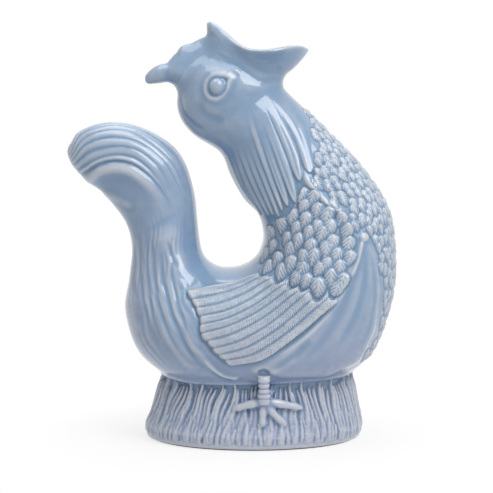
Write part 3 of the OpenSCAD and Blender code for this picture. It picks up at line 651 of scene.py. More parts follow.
def carve_wing(clay):
    """Long flight feathers side by side, with blunt tips that stand off the flank"""
    near = clay.near(WING_FAN, FAN_MARGIN, *WING_SPAN)
    v, w, covered = fan_places(WING_FAN, clay.side[near])
    last = FLIGHT_FEATHERS - 1
    f = v * last
    k = np.clip(np.round(f), 0, last)
    t = (f - k) * 2
    vane = np.sqrt(np.clip(1 - np.abs(t) ** 2.4, 0, 1)) - 0.10 * hump(t, 0, 0.14)
    from_tip = (w - 0.010 * jitter(k, 1)) * FLIGHT_LENGTH
    back = np.clip(1 - from_tip / 2.6, 0, 1)
    rounding = np.sqrt(np.clip(1 - back ** 2 - back * t * t, 0, 1)) * (from_tip > 0)
    beyond = np.abs(f - last / 2) - last / 2
    feather = rounding * smooth(1.16, 1.04, w) * ((beyond < 0.5) & covered)
    moat = smooth(3.2, 0.4, np.abs(from_tip)) * (from_tip < 0.4) * (beyond < 0.2) * covered
    clay.wing_rise[near] = (feather * (0.85 + 1.05 * vane) - 0.45 * moat) * clay.trunk[near]
    clay.barb[near] = np.where(feather > 0.25, w * FLIGHT_LENGTH + np.abs(t) * 2.6, 0)
    clay.winged[near] = feather


# Lines of the neck from the throat to the nape, each from the head to a feather's tip
HACKLE_FAN = side_view([
    [[-30, 742], [0, 665], [32, 605], [84, 545]],
    [[20, 770], [50, 690], [85, 618], [128, 540]],
    [[52, 812], [92, 722], [128, 640], [168, 556]],
    [[82, 838], [128, 765], [170, 690], [203, 612]],
    [[105, 850], [160, 790], [206, 728], [236, 640]]])
HACKLE_FEATHERS = 10


def carve_hackle(clay):
    """Long lappets down the neck, narrow under the throat and broad towards the nape"""
    near = clay.near(HACKLE_FAN, FAN_MARGIN, *HACKLE_SPAN)
    v, w, covered = fan_places(HACKLE_FAN, clay.side[near])
    f = (HACKLE_FEATHERS - 1) * (1.66 * v - 0.66 * v * v)
    k = np.clip(np.round(f), 0, HACKLE_FEATHERS - 1)
    t = (f - k) * 2
    start = 0.04 + 0.15 * (jitter(k, 2) + 0.7)
    depth = smooth(start, start + 0.5, w)
    shoulder = 0.66 + 0.06 * jitter(k, 3)
    end = 1.0 + 0.05 * jitter(k, 4)
    run = np.clip((w - shoulder) / (end - shoulder), 0, 1)
    narrow = (1 - run ** 3.2) ** 0.55
    reach = np.clip(np.abs(t) / np.maximum(narrow, 0.02), 0, 1)
    lappet = np.sqrt(1 - reach ** np.where(k > 5, 3.4, 2.2)) * (w < end)
    crease = 0.25 * hump(t, 0, 0.16) * smooth(0.25, 0.7, w) * (k > 5)
    edges = smooth(-0.10, 0.0, v) * smooth(1.10, 1.0, v) * smooth(1.10, 1.0, w)
    height = depth * (1.35 * lappet - crease - 0.6) * (0.62 + 0.38 * smooth(2, 6, k)) * edges * covered
    clay.rise[near] += height * clay.trunk[near]
    clay.hackled[near] = covered * (np.abs(v - 0.5) < 0.55) * (w > 0) * (w < 1.04)


# Area of the small feathers, and the shoulder's edge between the two kinds of them
SCALE_AREA = side_view([
    [192, 838], [222, 785], [245, 735], [256, 690], [254, 660], [228, 632], [198, 622], [168, 585],
    [130, 548], [108, 515], [102, 470], [86, 425], [68, 402], [130, 384], [190, 371], [240, 360],
    [280, 346], [318, 368], [345, 405], [356, 450], [388, 508], [415, 480], [440, 430], [458, 370],
    [455, 300], [430, 235], [390, 200], [600, 170], [600, 838]])
SHOULDER = side_view([[205, 660], [222, 625], [280, 570], [329, 542], [352.5, 504], [378, 478]])
# Way that the larger ones lie, and the knob at the top of the thigh
COVERT_WAY = np.array([-0.30, -0.95])
THIGH_KNOB = side_view([394, 487])
# Distance from row to row and from feather to feather
COVERT_STEP, COVERT_PITCH = 6.9, 8.0
BREAST_STEP, BREAST_PITCH = 5.4, 5.6
# Half width, length and rise of a small feather, and the distance between its barbs
COVERT, BREAST = (4.0, 5.5, 2.1, 2.7), (2.9, 3.9, 1.4, 2.2)
# Depth of the bed that the small feathers stand in
SCALE_BED = -0.8


def covert_centres():
    """Middles of the larger feathers between hackle and wing, with the way that they lie"""
    way = COVERT_WAY / np.linalg.norm(COVERT_WAY)
    row = np.array([-way[1], way[0]])
    start = side_view([300, 360])
    found = []
    for i in range(-12, 16):
        for j in range(-14, 14):
            c = start - way * i * COVERT_STEP + row * (j + 0.5 * (i % 2)) * COVERT_PITCH
            found.append(c + np.array([jitter(i * 31 + j, 5), jitter(i * 17 + j, 6)]) * 1.2)
    found = np.array(found)
    distance, sign, place = line_distance(found, SHOULDER)
    behind = ((sign < 0) | (found[:, 1] < SHOULDER[-1, 1] - 4)) & (found[:, 0] < 0.375 * LENGTH)
    places, angles = place_of(found[inside_area(found, SCALE_AREA) & behind & (distance > 2.6)])
    return [(u, a, way) for u, a in zip(places, angles)]


def breast_centres():
    """Middles of the smaller feathers over the breast and the back of the neck"""
    found, u, number = [], NECK_ROOT - 3.0, 0
    across = np.linspace(0, math.pi, 60)
    while u < HEAD_ROOT + 0.2:
        pace = np.linalg.norm(skin(u + 0.01, 0.4) - skin(u - 0.01, 0.4)) / 0.02
        arc = np.concatenate([[0], np.cumsum(norm(np.diff(skin(u, across), axis=0)))])
        for d in np.arange(0.5 * (number % 2) * BREAST_PITCH, arc[-1], BREAST_PITCH):
            a = np.interp(d, arc, across)
            found.append((u + 0.09 * jitter(number * 7 + d, 7), a + 0.035 * jitter(number * 3 + d, 8)))
        u += BREAST_STEP / pace
        number += 1
    places, angles = np.array(found).T
    sides = seen(skin(places, angles))
    distance, sign, place = line_distance(sides, SHOULDER)
    before = (sign > 0) & (sides[:, 1] > SHOULDER[-1, 1] - 4) | (sides[:, 0] > 0.40 * LENGTH)
    keep = inside_area(sides, SCALE_AREA) & before & (distance > 2.2)
    return [(u, a, None) for u, a in zip(places[keep], angles[keep])]


def feather_seat(u, a, way, number):
    """Middle of a small feather on the skin, with the directions across it and to its tip.
    Without a way of its own it lies down the neck."""
    centre = skin(u, a)
    du = skin(u + 0.02, a) - skin(u - 0.02, a)
    da = skin(u, a + 0.02) - skin(u, a - 0.02)
    out = np.cross(du, da)
    out /= np.linalg.norm(out)
    if way is not None and out @ (centre - np.array([LENGTH * 0.1, 0, centre[2]])) < 0:
        out = -out
    tip = -du if way is None else np.array([way[0], 0, way[1]])
    tip = tip - out * (tip @ out)
    tip /= np.linalg.norm(tip)
    across = np.cross(out, tip)
    lean = 0.26 * jitter(number, 9)
    return (centre, across * math.cos(lean) - tip * math.sin(lean),
            tip * math.cos(lean) + across * math.sin(lean))


def carve_scales(clay):
    """Stamps each small feather as a dome with a midrib and slanting barbs"""
    region = np.nonzero((clay.trunk > 0) & (clay.points[:, 0] > 8) & (clay.points[:, 2] > 38))[0]
    tree = search_tree(clay.points[region], region)
    height = np.full(len(clay.points), SCALE_BED)
    for number, (u, a, way) in enumerate(covert_centres() + breast_centres()):
        centre, across, tip = feather_seat(u, a, way, number)
        half, length, rise, pitch = BREAST if way is None else COVERT
        if way is not None:
            grow = smooth(0.56, 0.36, centre[2] / HEIGHT)
            half, length = half + 0.4 * grow, length + 0.6 * grow
        size = 1 + 0.13 * jitter(number, 10)
        for side in (1, -1) if abs(centre[1]) > 1.5 else (1,):
            flip = np.array([1, side, 1])
            ids = np.array([i for _, i, _ in tree.find_range(centre * flip, length * 1.35)], int)
            if len(ids) == 0:
                continue
            gap = clay.points[ids] - centre * flip
            p, q = gap @ (across * flip) / (half * size), gap @ (tip * flip) / (length * size)
            radius = p * p * (1 + 0.25 * q) + (q + 0.18 * (1 - q * q)) ** 2
            dome = np.clip(1 - radius, 0, 1) ** 0.52
            barbs = np.cos((q * length - 1.4 * np.abs(p) * half) * 2 * math.pi / pitch)
            rib = hump(p * half, 0, 0.45)
            shape = rise * dome * (1 - 0.25 * q)
            shape += smooth(0, 0.5, dome) * (0.23 * barbs * (1 - rib) + 0.30 * rib)
            height[ids] = np.maximum(height[ids], np.where(radius < 1, shape, 0) + SCALE_BED)
            clay.scaled[ids] = np.maximum(clay.scaled[ids], smooth(1.5, 0.9, radius))
    clay.rise += lerp(clay.wing_rise, height * clay.trunk, clay.scaled * (1 - clay.hackled))


# Lines of the tail from its top edge down to the lobe's border, each from tip to root
TAIL_FAN = side_view([
    [[-492, 690], [-462, 741], [-375, 764], [-270, 749], [-168, 690], [-122, 600]],
    [[-480, 668], [-434, 703], [-360, 718], [-283, 706], [-207, 655], [-160, 588]],
    [[-462, 640], [-405, 662], [-350, 670], [-293, 659], [-234, 621], [-193, 575]]])
TAIL_BORDER = side_view([
    [-468, 632], [-436, 647], [-401, 663], [-350, 670], [-293, 659], [-234, 621], [-193, 575],
    [-172, 530]])
TAIL_RIBS = 6.5


def carve_tail(clay):
    """Ribs that arch over the upper tail, a bright lobe below them and a hollow flank"""
    near = np.nonzero((clay.place < TAIL_SPAN) & (clay.trunk > 0) & (clay.points[:, 0] < -20))[0]
    v, w, covered = fan_places(TAIL_FAN, clay.side[near], 0.12)
    phase = np.arccos(np.clip(1 - v, -1, 1)) / (math.pi / 2) * TAIL_RIBS
    wander = 0.10 * np.sin(w * 9.0 + np.floor(phase) * 1.7)
    wave = np.abs(np.sin((phase + wander) * math.pi))
    fade = smooth(0.98, 0.62, w + 0.10 * jitter(np.floor(phase), 11)) * smooth(-0.08, 0.06, w)
    fade *= 0.6 + 0.4 * smooth(0.0, 0.5, v)
    ribbed = (0.72 * wave ** 0.7 - 0.42) * fade * covered * smooth(1.04, 0.98, v)
    distance, sign, place = line_distance(clay.side[near], whole_curve(TAIL_BORDER, 50))
    depth = -distance * sign
    ends = smooth(0.0, 0.18, place) * smooth(0.96, 0.45, place)
    below = 1.8 * hump(depth, 5.0, 3.6) - 0.9 * hump(depth, 0.6, 1.1)
    below += 0.5 * hump(depth, -1.6, 1.2) - 0.9 * hump(depth, 14.0, 6.5)
    clay.rise[near] += (ribbed + below * ends) * clay.trunk[near]


# Folds and streaks of the glaze-softened plumage, each a line, a width and a rise
FOLDS = [
    ([[-400, 592], [-350, 578], [-300, 553]], 2.2, 0.7),
    ([[-222, 520], [-200, 490], [-180, 455], [-160, 410], [-140, 362]], 8.0, 1.9),
    ([[-198, 480], [-184, 440], [-168, 405]], 1.2, -0.5),
    ([[-283, 500], [-278, 450], [-280, 400], [-272, 340], [-262, 290]], 1.1, -0.55),
    ([[-266, 520], [-258, 470], [-262, 420], [-252, 350], [-236, 280], [-205, 215]], 1.1, -0.5),
    ([[-250, 500], [-240, 450], [-238, 400], [-226, 330], [-198, 262], [-160, 205]], 1.1, -0.55),
    ([[-296, 480], [-294, 430], [-298, 380], [-290, 330]], 1.3, -0.7),
    ([[-214, 455], [-212, 400], [-198, 340], [-170, 270], [-126, 205], [-80, 165]], 1.4, -0.75),
    ([[-188, 430], [-182, 385], [-166, 330], [-138, 262], [-98, 205]], 1.2, -0.5),
    ([[-272, 330], [-250, 270], [-216, 215]], 1.6, -0.6),
    ([[-300, 360], [-296, 300], [-276, 250]], 1.8, 0.6),
    ([[-228, 300], [-196, 240], [-150, 190], [-105, 158]], 2.2, 0.6),
    ([[-150, 300], [-128, 240], [-90, 195], [-45, 162]], 2.0, 0.5),
    ([[-90, 195], [-60, 170], [-30, 154], [5, 148], [24, 149]], 1.3, 1.1),
    ([[-70, 165], [-36, 145], [4, 138]], 1.2, -0.5),
    ([[386, 480], [372, 430], [352, 370], [318, 300], [262, 235], [190, 180]], 3.0, -0.6),
    ([[394, 480], [396, 420], [386, 350], [352, 275], [300, 215]], 2.2, -0.5),
    ([[402, 470], [420, 410], [424, 340], [406, 270], [370, 210]], 1.8, -0.5),
    ([[366, 455], [350, 405], [326, 352], [280, 300], [212, 245], [130, 198]], 1.8, 0.6),
    ([[240, 245], [180, 200], [120, 168]], 2.4, -0.6),
    ([[200, 205], [150, 178], [105, 158]], 2.0, 0.5),
    ([[-152, 842], [-156, 815], [-146, 786], [-120, 762], [-80, 740]], 1.3, -0.6),
    ([[-110, 815], [-90, 785], [-55, 768], [-20, 766]], 3.0, -0.6),
    ([[-80, 990], [-74, 970], [-66, 948], [-58, 930]], 1.1, -1.2),
    ([[-58, 948], [-40, 922], [-18, 905], [4, 898], [30, 886], [60, 868], [90, 858], [125, 862],
      [150, 856]], 1.8, -0.35),
    ([[-180, 898], [-165, 892], [-140, 898], [-110, 915]], 1.4, -0.5),
    ([[352, 386], [372, 430], [392, 500]], 1.2, 1.0),
    ([[330, 356], [286, 312], [220, 262], [150, 222], [80, 194]], 1.6, -0.7)]
# Groove above the leg, and the swelling of the thigh
LEG_GROOVE = side_view([[82, 165], [92.5, 168], [103, 165]])
THIGH_AREA = side_view([
    [50, 165], [150, 150], [280, 150], [380, 190], [425, 260], [440, 360], [425, 450], [388, 500],
    [358, 440], [330, 365], [280, 310], [200, 250], [120, 205]])


def carve_streaks(clay):
    """Uneven streaks of down round the root of the tail"""
    way = clay.angle * 44 + 2.2 * np.sin(clay.place * 2.1) + 1.3 * np.sin(clay.place * 5.3)
    streak = np.sin(way) * (0.5 + 0.5 * np.sin(clay.place * 3.1 + clay.angle * 7.0))
    zone = smooth(4.9, 6.0, clay.place) * smooth(10.6, 8.8, clay.place) * smooth(0.35, 0.8, clay.angle)
    clay.rise += 0.13 * streak * zone * smooth(2.3, 1.8, clay.angle) * clay.trunk * (1 - clay.winged)


def carve_folds(clay):
    """Folds, the edge and knob of the shoulder, and the swelling of the thigh"""
    for points, width, rise in FOLDS:
        stroke(clay, side_view(points), width, rise)
    stroke(clay, SHOULDER, 2.3, 1.9)
    clay.rise += 1.5 * np.exp(-(norm(clay.side - THIGH_KNOB) / 2.6) ** 4) * clay.trunk
    stroke(clay, LEG_GROOVE, 1.3, -1.2, fade=0)
    near = (clay.points[:, 0] > 0) & (clay.points[:, 2] < 140)
    used, part = part_of(clay.quads, near[clay.quads].all(axis=1))
    swell = softened(inside_area(clay.side[used], THIGH_AREA), part, 30)
    clay.rise[used] += swell * 1.7 * clay.trunk[used] * (clay.place[used] < 17)


# Edge of the eye's opening, in millimetres from the middle of the eye
EYE_EDGE = np.array([
    [7.8, 4.8], [5.0, 6.3], [1.4, 6.5], [-3.0, 5.6], [-6.1, 2.8], [-7.0, -1.0], [-6.2, -4.6], [-3.5, -7.0],
    [0.0, -7.2], [3.2, -5.1], [5.4, -1.6], [6.8, 1.8], [7.8, 4.8]])
# Middle of the brow, and how far it spreads
BROW, BROW_SPREAD = side_view([-20, 882]), [11.0, 3.0]


def carve_eye(clay):
    """Pointed lid round the eyeball, with a sunk corner behind it, and the brow above"""
    line = whole_curve(EYE_EDGE + EYE, 45)
    near = np.nonzero((clay.eye < 16) & (np.abs(clay.points[:, 1]) > 8) & (clay.off_trunk < 3.0))[0]
    distance, sign, place = line_distance(clay.side[near], line)
    lid = 0.8 * hump(distance, 0, 1.8)
    sunk = -0.35 * smooth(0.6, 2.0, distance) * inside_area(clay.side[near], line)
    brow = 0.7 * np.exp(-(((clay.side[near] - BROW) / BROW_SPREAD) ** 2).sum(1))
    clay.rise[near] += (lid + sunk + brow) * (1 - smooth(5.3, 4.5, clay.eye[near]))


def blades(around, height, sweep, count, perimeter, lowest, highest, salt):
    """Height of a ring of grass blades, at distances round the plinth and heights above it"""
    height = np.maximum(height, 0)
    pitch = perimeter / count
    best = np.zeros(len(around))
    lean = sweep * (height / 30.0) ** 1.4 + 0.8 * np.sin(height / 4.4 + around / 5.0 + salt)
    base = np.floor((around + lean) / pitch)
    for shift in (-1, 0, 1):
        k = (base + shift) % count
        middle = (base + shift + 0.5) * pitch + 0.32 * pitch * jitter(k, salt)
        top = lerp(lowest, highest, 0.5 + 0.5 * jitter(k, salt + 1))
        taper = np.clip(1 - (height / top) ** 5, 0, 1) ** 0.5
        half = pitch * (0.56 + 0.10 * jitter(k, salt + 2)) * taper
        t = np.abs(around + lean - middle) / np.maximum(half, 0.05)
        crown = np.sqrt(np.clip(1 - t * t, 0, 1)) * (0.85 + 0.25 * jitter(k, salt + 3))
        best = np.maximum(best, np.where(height < top, crown, 0))
    return best


# Numbers of grass blades in the tall row and in the low one before it
TALL_BLADES, LOW_BLADES = 116, 132


def carve_grass(clay):
    """Blades in two rows round the plinth, and the smooth roll of glaze over its foot"""
    near = np.nonzero(clay.plinth > 0)[0]
    perimeter = math.pi * (PLINTH_LENGTH + PLINTH_WIDTH) / 2 * 0.96
    turn = clay.turn[near]
    around = turn / (2 * math.pi) * perimeter
    sweep = 4.2 * np.sin(2 * (turn + math.pi / 2)) - 0.8
    height = clay.points[near, 2] - FOOT_TOP
    tall = blades(around, height, sweep, TALL_BLADES, perimeter, 30.5, 37.5, 12)
    low = blades(around + 1.3, height, sweep * 0.6, LOW_BLADES, perimeter, 8.0, 22.0, 15)
    rise = np.maximum(1.5 * tall, 0.6 * tall + 1.25 * low) - 0.85
    deep = -0.8 * (1 - tall) * smooth(15, 25, height) * smooth(38, 33, height)
    roll = 1.1 * hump(height, -0.2, 1.7)
    clay.rise[near] += ((rise + deep) * smooth(0.6, 2.6, height) + roll) * clay.plinth[near]


# Heights of the shank's foot and top, and the height that its lean is measured over
SHANK_FOOT, SHANK_TOP, SHANK_RUN = 28.5, 45.5, 16.4


def carve_shank(clay):
    """Rings round each shank"""
    beside = np.abs(clay.points[:, 0] - LEG_MIDDLE)
    height = clay.points[:, 2]
    axis = lerp(SHANK_OUT[1], SHANK_OUT[0], (height - SHANK_FOOT) / SHANK_RUN)
    out = np.abs(clay.points[:, 1]) - axis
    near = np.nonzero((height < SHANK_TOP) & (height > 28) & (beside < 5.2) & (out > 0.4))[0]
    rings = np.abs(np.sin((height[near] - 28.0) * math.pi / 3.1)) ** 0.8
    clay.rise[near] += (0.65 * rings - 0.40) * smooth(29.0, 31.0, height[near])


def carve_waves(clay):
    """Slow unevenness of a hand-finished casting, and its fullness at back, breast and nape"""
    x, y, z = clay.points.T
    slow = np.sin(x / 9.0 + 1.3 * np.sin(z / 13.0)) * np.sin(z / 8.0 + y / 11.0)
    fine = np.sin(x / 3.1 + 2.0) * np.sin(z / 3.7 + y / 4.3)
    place = clay.place
    outer = 1.3 * hump(place, 8.2, 1.4) + 1.3 * hump(place, 12.9, 0.6) - 0.9 * hump(place, 16.6, 1.4)
    inner = 0.75 * smooth(3.0, 5.0, place) * smooth(21.5, 20.0, place)
    outer *= smooth(1.0, 0.3, clay.angle)
    inner *= smooth(math.pi - 1.0, math.pi - 0.3, clay.angle)
    clay.rise += (0.16 * slow + 0.035 * fine + outer + inner) * clay.trunk


def carve(clay):
    """All the carving, laid on along the normals and kept within the box of the solids"""
    for work in (carve_tail, carve_folds, carve_hackle, carve_wing, carve_scales, carve_streaks,
                 carve_eye, carve_grass, carve_shank, carve_waves):
        work(clay)
    low, high = np.array(cad_box) / MM
    clay.points = np.clip(clay.points + clay.normals * clay.rise[:, None], low + 0.02, high - 0.02)
    clay.points[:, 2] = np.maximum(clay.points[:, 2], GLAZE_EDGE - 0.2)
    clay.normals = normals_of(clay.points, clay.quads)


def read_relief(clay):
    """How far each vertex stands out, which the glaze needs to break on edges and to pool"""
    soft = softened(clay.points, clay.quads, 4)
    softer = softened(soft, clay.quads, 22)
    fine = ((clay.points - soft) * clay.normals).sum(1)
    broad = ((soft - softer) * clay.normals).sum(1)
    clay.relief = np.clip(fine / 0.20, -1, 1) * 0.55 + np.clip(broad / 0.5, -1, 1) * 0.6
    thin = (clay.off_trunk > LOOSE) & (clay.points[:, 2] > HEAD_LEVEL) | (clay.eye < 6)
    clay.relief *= np.where(thin, 0.4, 1.0)
    # Mask of the finely carved areas, for their speckle and bumps and for the painted light that makes them
    # paler
    clay.grain = np.maximum(np.maximum(clay.scaled * (1 - clay.hackled), clay.winged), clay.plinth)


class Field:
    """A shader socket that takes part in sums written in Python"""

    def __init__(self, graph, socket):
        self.graph, self.socket = graph, socket

    def math(self, operation, *others):
        return self.graph.math(operation, self, *others)

    def __add__(self, other):
        return self.math("ADD", other)

    def __sub__(self, other):
        return self.math("SUBTRACT", other)

    def __mul__(self, other):
        return self.math("MULTIPLY", other)

    def __rsub__(self, other):
        return self.graph.math("SUBTRACT", other, self)

    __radd__, __rmul__ = __add__, __mul__

    def clamp(self, low, high):
        return self.math("MAXIMUM", low).math("MINIMUM", high)


class Graph:
    """Node tree of a material or of the world"""

    def __init__(self, tree):
        self.tree = tree

    def add(self, kind, settings=None, sockets=None, out=0):
        """Adds a node of a type, with its settings and the values or links of its sockets"""
        node = self.tree.nodes.new(kind)
        for key, value in (settings or {}).items():
            setattr(node, key, value)
        for key, value in (sockets or {}).items():
            self.feed(node.inputs[key], value)
        return Field(self, node.outputs[out])

    def feed(self, socket, value):
        if isinstance(value, Field):
            self.tree.links.new(value.socket, socket)
        else:
            socket.default_value = value

    def math(self, operation, *values):
        return self.add("ShaderNodeMath", {"operation": operation}, dict(enumerate(values)))

    def mix(self, factor, a, b):
        return self.add("ShaderNodeMix", {"data_type": "RGBA"}, {0: factor, 6: a, 7: b}, out=2)

    def noise(self, scale, detail=2.0):
        place = self.add("ShaderNodeTexCoord", out="Object")
        return self.add("ShaderNodeTexNoise", {}, {"Vector": place, "Scale": scale, "Detail": detail})

    def attribute(self, name):
        return self.add("ShaderNodeAttribute", {"attribute_name": name}, out="Fac")

    def bump(self, height, strength, distance):
        return self.add("ShaderNodeBump", {}, {"Strength": strength, "Distance": distance,
                                               "Height": height})

    def blend(self, output, factor, plain, white):
        """Feeds an output with a plain shader that turns into a white one"""
        self.feed(self.tree.nodes[output].inputs[0], self.add(
            "ShaderNodeMixShader", {}, {0: factor, 1: Field(self, plain.outputs[0]), 2: white}))


def new_material(name):
    material = bpy.data.materials.new(name)
    material.use_nodes = True
    return material, Graph(material.node_tree), material.node_tree.nodes["Principled BSDF"]


# Glaze in pools, on the body, on ridges and where it clouds, and the bare clay's two tones; the ridge
# colour also carries painted light over the finely carved areas
DEEP, BODY = (0.142, 0.262, 0.396, 1), (0.228, 0.340, 0.496, 1)
PALE, CLOUD = (0.620, 0.650, 0.695, 1), (0.292, 0.348, 0.512, 1)
CLAY_DARK, CLAY_LIGHT = (0.085, 0.070, 0.062, 1), (0.20, 0.165, 0.14, 1)


def glaze():
    """Clear glossy blue glaze, deep where it pools and pale where it breaks on the ridges, with painted
    light that makes the finely carved areas paler
    """
    material, g, shader = new_material("pale_blue_glaze")
    # Hatch of the barbs on the flight feathers
    barb = g.attribute("barb")
    hatch = (barb * 4.6).math("SINE") * barb.clamp(0.0, 1.0)
    fleck = hatch * (g.noise(330.0, 3.0) * 2.0 - 0.65).clamp(0.0, 1.0) * 0.8
    # Speckle where the skin is finely modelled
    grain = g.attribute("grain")
    speckle = (g.noise(700.0, 3.0) - 0.5) * grain * 1.1
    # Glaze that pools in hollows and runs thin over ridges; the finely carved areas are also painted paler,
    # which is painted light that brightens them
    relief = g.attribute("relief") + (g.noise(160.0) - 0.5) * 0.30 + fleck * 1.2 + speckle + grain * 0.24
    pools = (relief * -1.0).clamp(0.0, 1.0)
    ridges_and_sheen = (relief * 1.15 - 0.02).clamp(0.0, 1.0)
    # Clouds in the glaze, more of them low on the jug
    place = g.add("ShaderNodeTexCoord", out="Object")
    height = g.add("ShaderNodeSeparateXYZ", {}, {0: place}, out=2)
    cloud = ((g.noise(14.0) - 0.45) * 2.0 + (0.110 - height) * 7.0).clamp(0.0, 1.0)
    colour = g.mix(cloud, BODY, CLOUD)
    colour = g.mix(ridges_and_sheen * 0.8, colour, PALE)
    colour = g.mix(pools, colour, DEEP)
    g.feed(shader.inputs["Base Color"], colour)
    g.feed(shader.inputs["Roughness"], g.noise(60.0) * 0.10 + 0.20)
    bumps = fleck * 1.5 + g.noise(420.0) * (grain * 1.2 + 0.2) + g.noise(110.0) * (grain * 1.6 + 0.6)
    g.feed(shader.inputs["Normal"], g.bump(bumps, 0.5, 0.0009))
    for name, value in (("Coat Weight", 0.8), ("Coat IOR", 1.55), ("Coat Roughness", 0.05),
                        ("Specular IOR Level", 0.2), ("IOR", 1.5)):
        shader.inputs[name].default_value = value
    return material


def bare_clay():
    """Wiped, unglazed clay of the foot"""
    material, g, shader = new_material("bare_clay")
    speck = (g.noise(900.0, 4.0) * 1.6 - 0.3).clamp(0.0, 1.0)
    g.feed(shader.inputs["Base Color"], g.mix(speck, CLAY_DARK, CLAY_LIGHT))
    g.feed(shader.inputs["Roughness"], g.noise(300.0) * 0.2 + 0.65)
    g.feed(shader.inputs["Normal"], g.bump(g.noise(1200.0, 4.0), 0.4, 0.0004))
    return material


def dress(thing, material, nodes=()):
    """Gives a finished piece its smooth shading, its material and its place in the part"""
    mesh = thing.data
    mesh.polygons.foreach_set("use_smooth", np.ones(len(mesh.polygons), bool))
    mesh.materials.clear()
    mesh.materials.append(material)
    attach(thing, "root")
    if nodes:
        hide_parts(*nodes)


def set_values(thing, name, values):
    """Stores a value at each vertex, for the glaze to read"""
    layer = thing.data.attributes.new(name, "FLOAT", "POINT")
    layer.data.foreach_set("value", values.astype(np.float32))


def labels_of(clay):
    """Which casting or sprig each quad of the skin belongs to, and whether it is on the right"""
    centre, place, off, off_plinth, eye = (values[clay.quads].mean(1) for values in (
        clay.points, clay.place, clay.off_trunk, clay.off_plinth, clay.eye))
    x, y, z = centre[:, 0], np.abs(centre[:, 1]), centre[:, 2]
    label = np.full(len(centre), "head", object)
    label[place < HEAD_ROOT] = "neck"
    label[place < NECK_ROOT] = "body"
    label[place < TAIL_ROOT] = "tail"
    # Plinth, with the toes and shanks that stand off its wall
    low = (z < PLINTH_TOP + 3) & (off > LOOSE)
    label[low] = "plinth"
    toes = low & (off_plinth > 2.0) & (z > 5) & (x > -6) & (x < 46) & (y > 28)
    shank = (np.abs(x - LEG_MIDDLE) < 4.6) & (y > 46.2) & (z > 27) & (z < 47) & (off > 0.9)
    label[toes | shank] = "leg"
    # Lip, comb and beak, which stand off the round of the head
    loose = (off > LOOSE) & (z > HEAD_LEVEL)
    label[loose & (x > -15)] = "lip"
    label[loose & (x <= -15)] = "comb"
    label[loose & (x < -33) & (z < 226)] = "beak"
    # Eyes, flight feathers and hackle
    label[(eye < 9.0) & (y > 12) & (off < 4.0)] = "eye"
    label[(clay.winged * (1 - clay.scaled))[clay.quads].mean(1) > 0.5] = "wing"
    label[(clay.hackled[clay.quads].mean(1) > 0.5) & (label == "neck")] = "hackle"
    # End of the throat, which is left out for the throat lining
    label[(off > 2.6) & (z > 150) & (place < 21.6) & (x > -35)] = "blind throat"
    return label, centre[:, 1] < 0


# Pieces of the skin: name, label, side, slot, and the nodes that each one takes the place of
PIECES = [
    ("plinth_front", "plinth", "right", "glaze_grass", "grass_plinth", "grass_tufts"),
    ("plinth_back", "plinth", "left", "glaze_grass"),
    ("leg_right", "leg", "right", "glaze_smooth", "shank_right", "foot_right"),
    ("leg_left", "leg", "left", "glaze_smooth", "shank_left", "foot_left"),
    ("body_right", "body", "right", "glaze_smooth", "body_shell", "thigh_right"),
    ("body_left", "body", "left", "glaze_smooth", "thigh_left"),
    ("wing_feathers_right", "wing", "right", "glaze_feather", "wing_right"),
    ("wing_feathers_left", "wing", "left", "glaze_feather", "wing_left"),
    ("tail", "tail", "both", "glaze_feather", "tail_handle", "tail_feathers"),
    ("neck", "neck", "both", "glaze_feather", "neck_shell", "breast_scales"),
    ("hackle_feathers_right", "hackle", "right", "glaze_feather", "hackle_right"),
    ("hackle_feathers_left", "hackle", "left", "glaze_feather", "hackle_left"),
    ("head", "head", "both", "glaze_smooth", "head_shell"),
    ("lip", "lip", "both", "glaze_smooth", "pouring_lip"),
    ("crest_comb", "comb", "both", "glaze_smooth", "comb"),
    ("hooked_beak", "beak", "both", "glaze_smooth", "beak"),
    ("eye_right_lid", "eye", "right", "glaze_smooth", "eye_right"),
    ("eye_left_lid", "eye", "left", "glaze_smooth", "eye_left")]


def part_casting(clay, material):
    """Cuts the skin into its pieces, which keep the normals and values of the whole skin"""
    labels, right = labels_of(clay)
    sides = {"right": right, "left": ~right, "both": right | ~right}
    for name, label, side, slot, *nodes in PIECES:
        used, quads = part_of(clay.quads, (labels == label) & sides[side])
        thing = new_object(name, clay.points[used], quads)
        for key in ("relief", "barb", "grain"):
            set_values(thing, key, getattr(clay, key)[used])
        dress(thing, material, nodes)
        thing.data.normals_split_custom_set_from_vertices(clay.normals[used].tolist())


def throat_lining(material):
    """Inner wall of the neck, body and tail, seen through the mouth"""
    rings = np.array([skin(u, TURN[::2], WALL - 0.15) for u in np.linspace(22.3, 1.3, 90)])
    n, m = rings.shape[:2]
    faces = [[i * m + j, (i + 1) * m + j, (i + 1) * m + (j + 1) % m, i * m + (j + 1) % m]
             for i in range(n - 1) for j in range(m)]
    thing = new_object("throat_lining", rings.reshape(-1, 3), faces)
    for key, value in (("relief", -0.25), ("barb", 0.0), ("grain", 0.0)):
        set_values(thing, key, np.full(n * m, value))
    dress(thing, material)


# Rings of the foot from its outer top to the middle of the floor: inset and height
FOOT_RINGS = [
    (1.4, FOOT_TOP + 0.6), (1.5, FOOT_TOP - 0.3), (1.6, 0.5), (1.9, 0.12), (2.5, 0.0), (7.6, 0.0),
    (8.4, 0.3), (8.8, 1.2), (9.4, 1.6), (14.0, 1.6), (24.0, 1.6), (34.0, 1.6), (44.0, 1.6)]


def foot(material):
    """Bare foot ring with a shallow hollow under the floor"""
    a, b, middle = plinth_oval(0.0)
    rings = [np.stack([middle + (a - inset) * np.cos(TURN), (b - inset) * np.sin(TURN),
                       np.full(len(TURN), height)], -1) for inset, height in FOOT_RINGS[::-1]]
    dress(loft("foot_ring", rings), material, ["foot_base"])


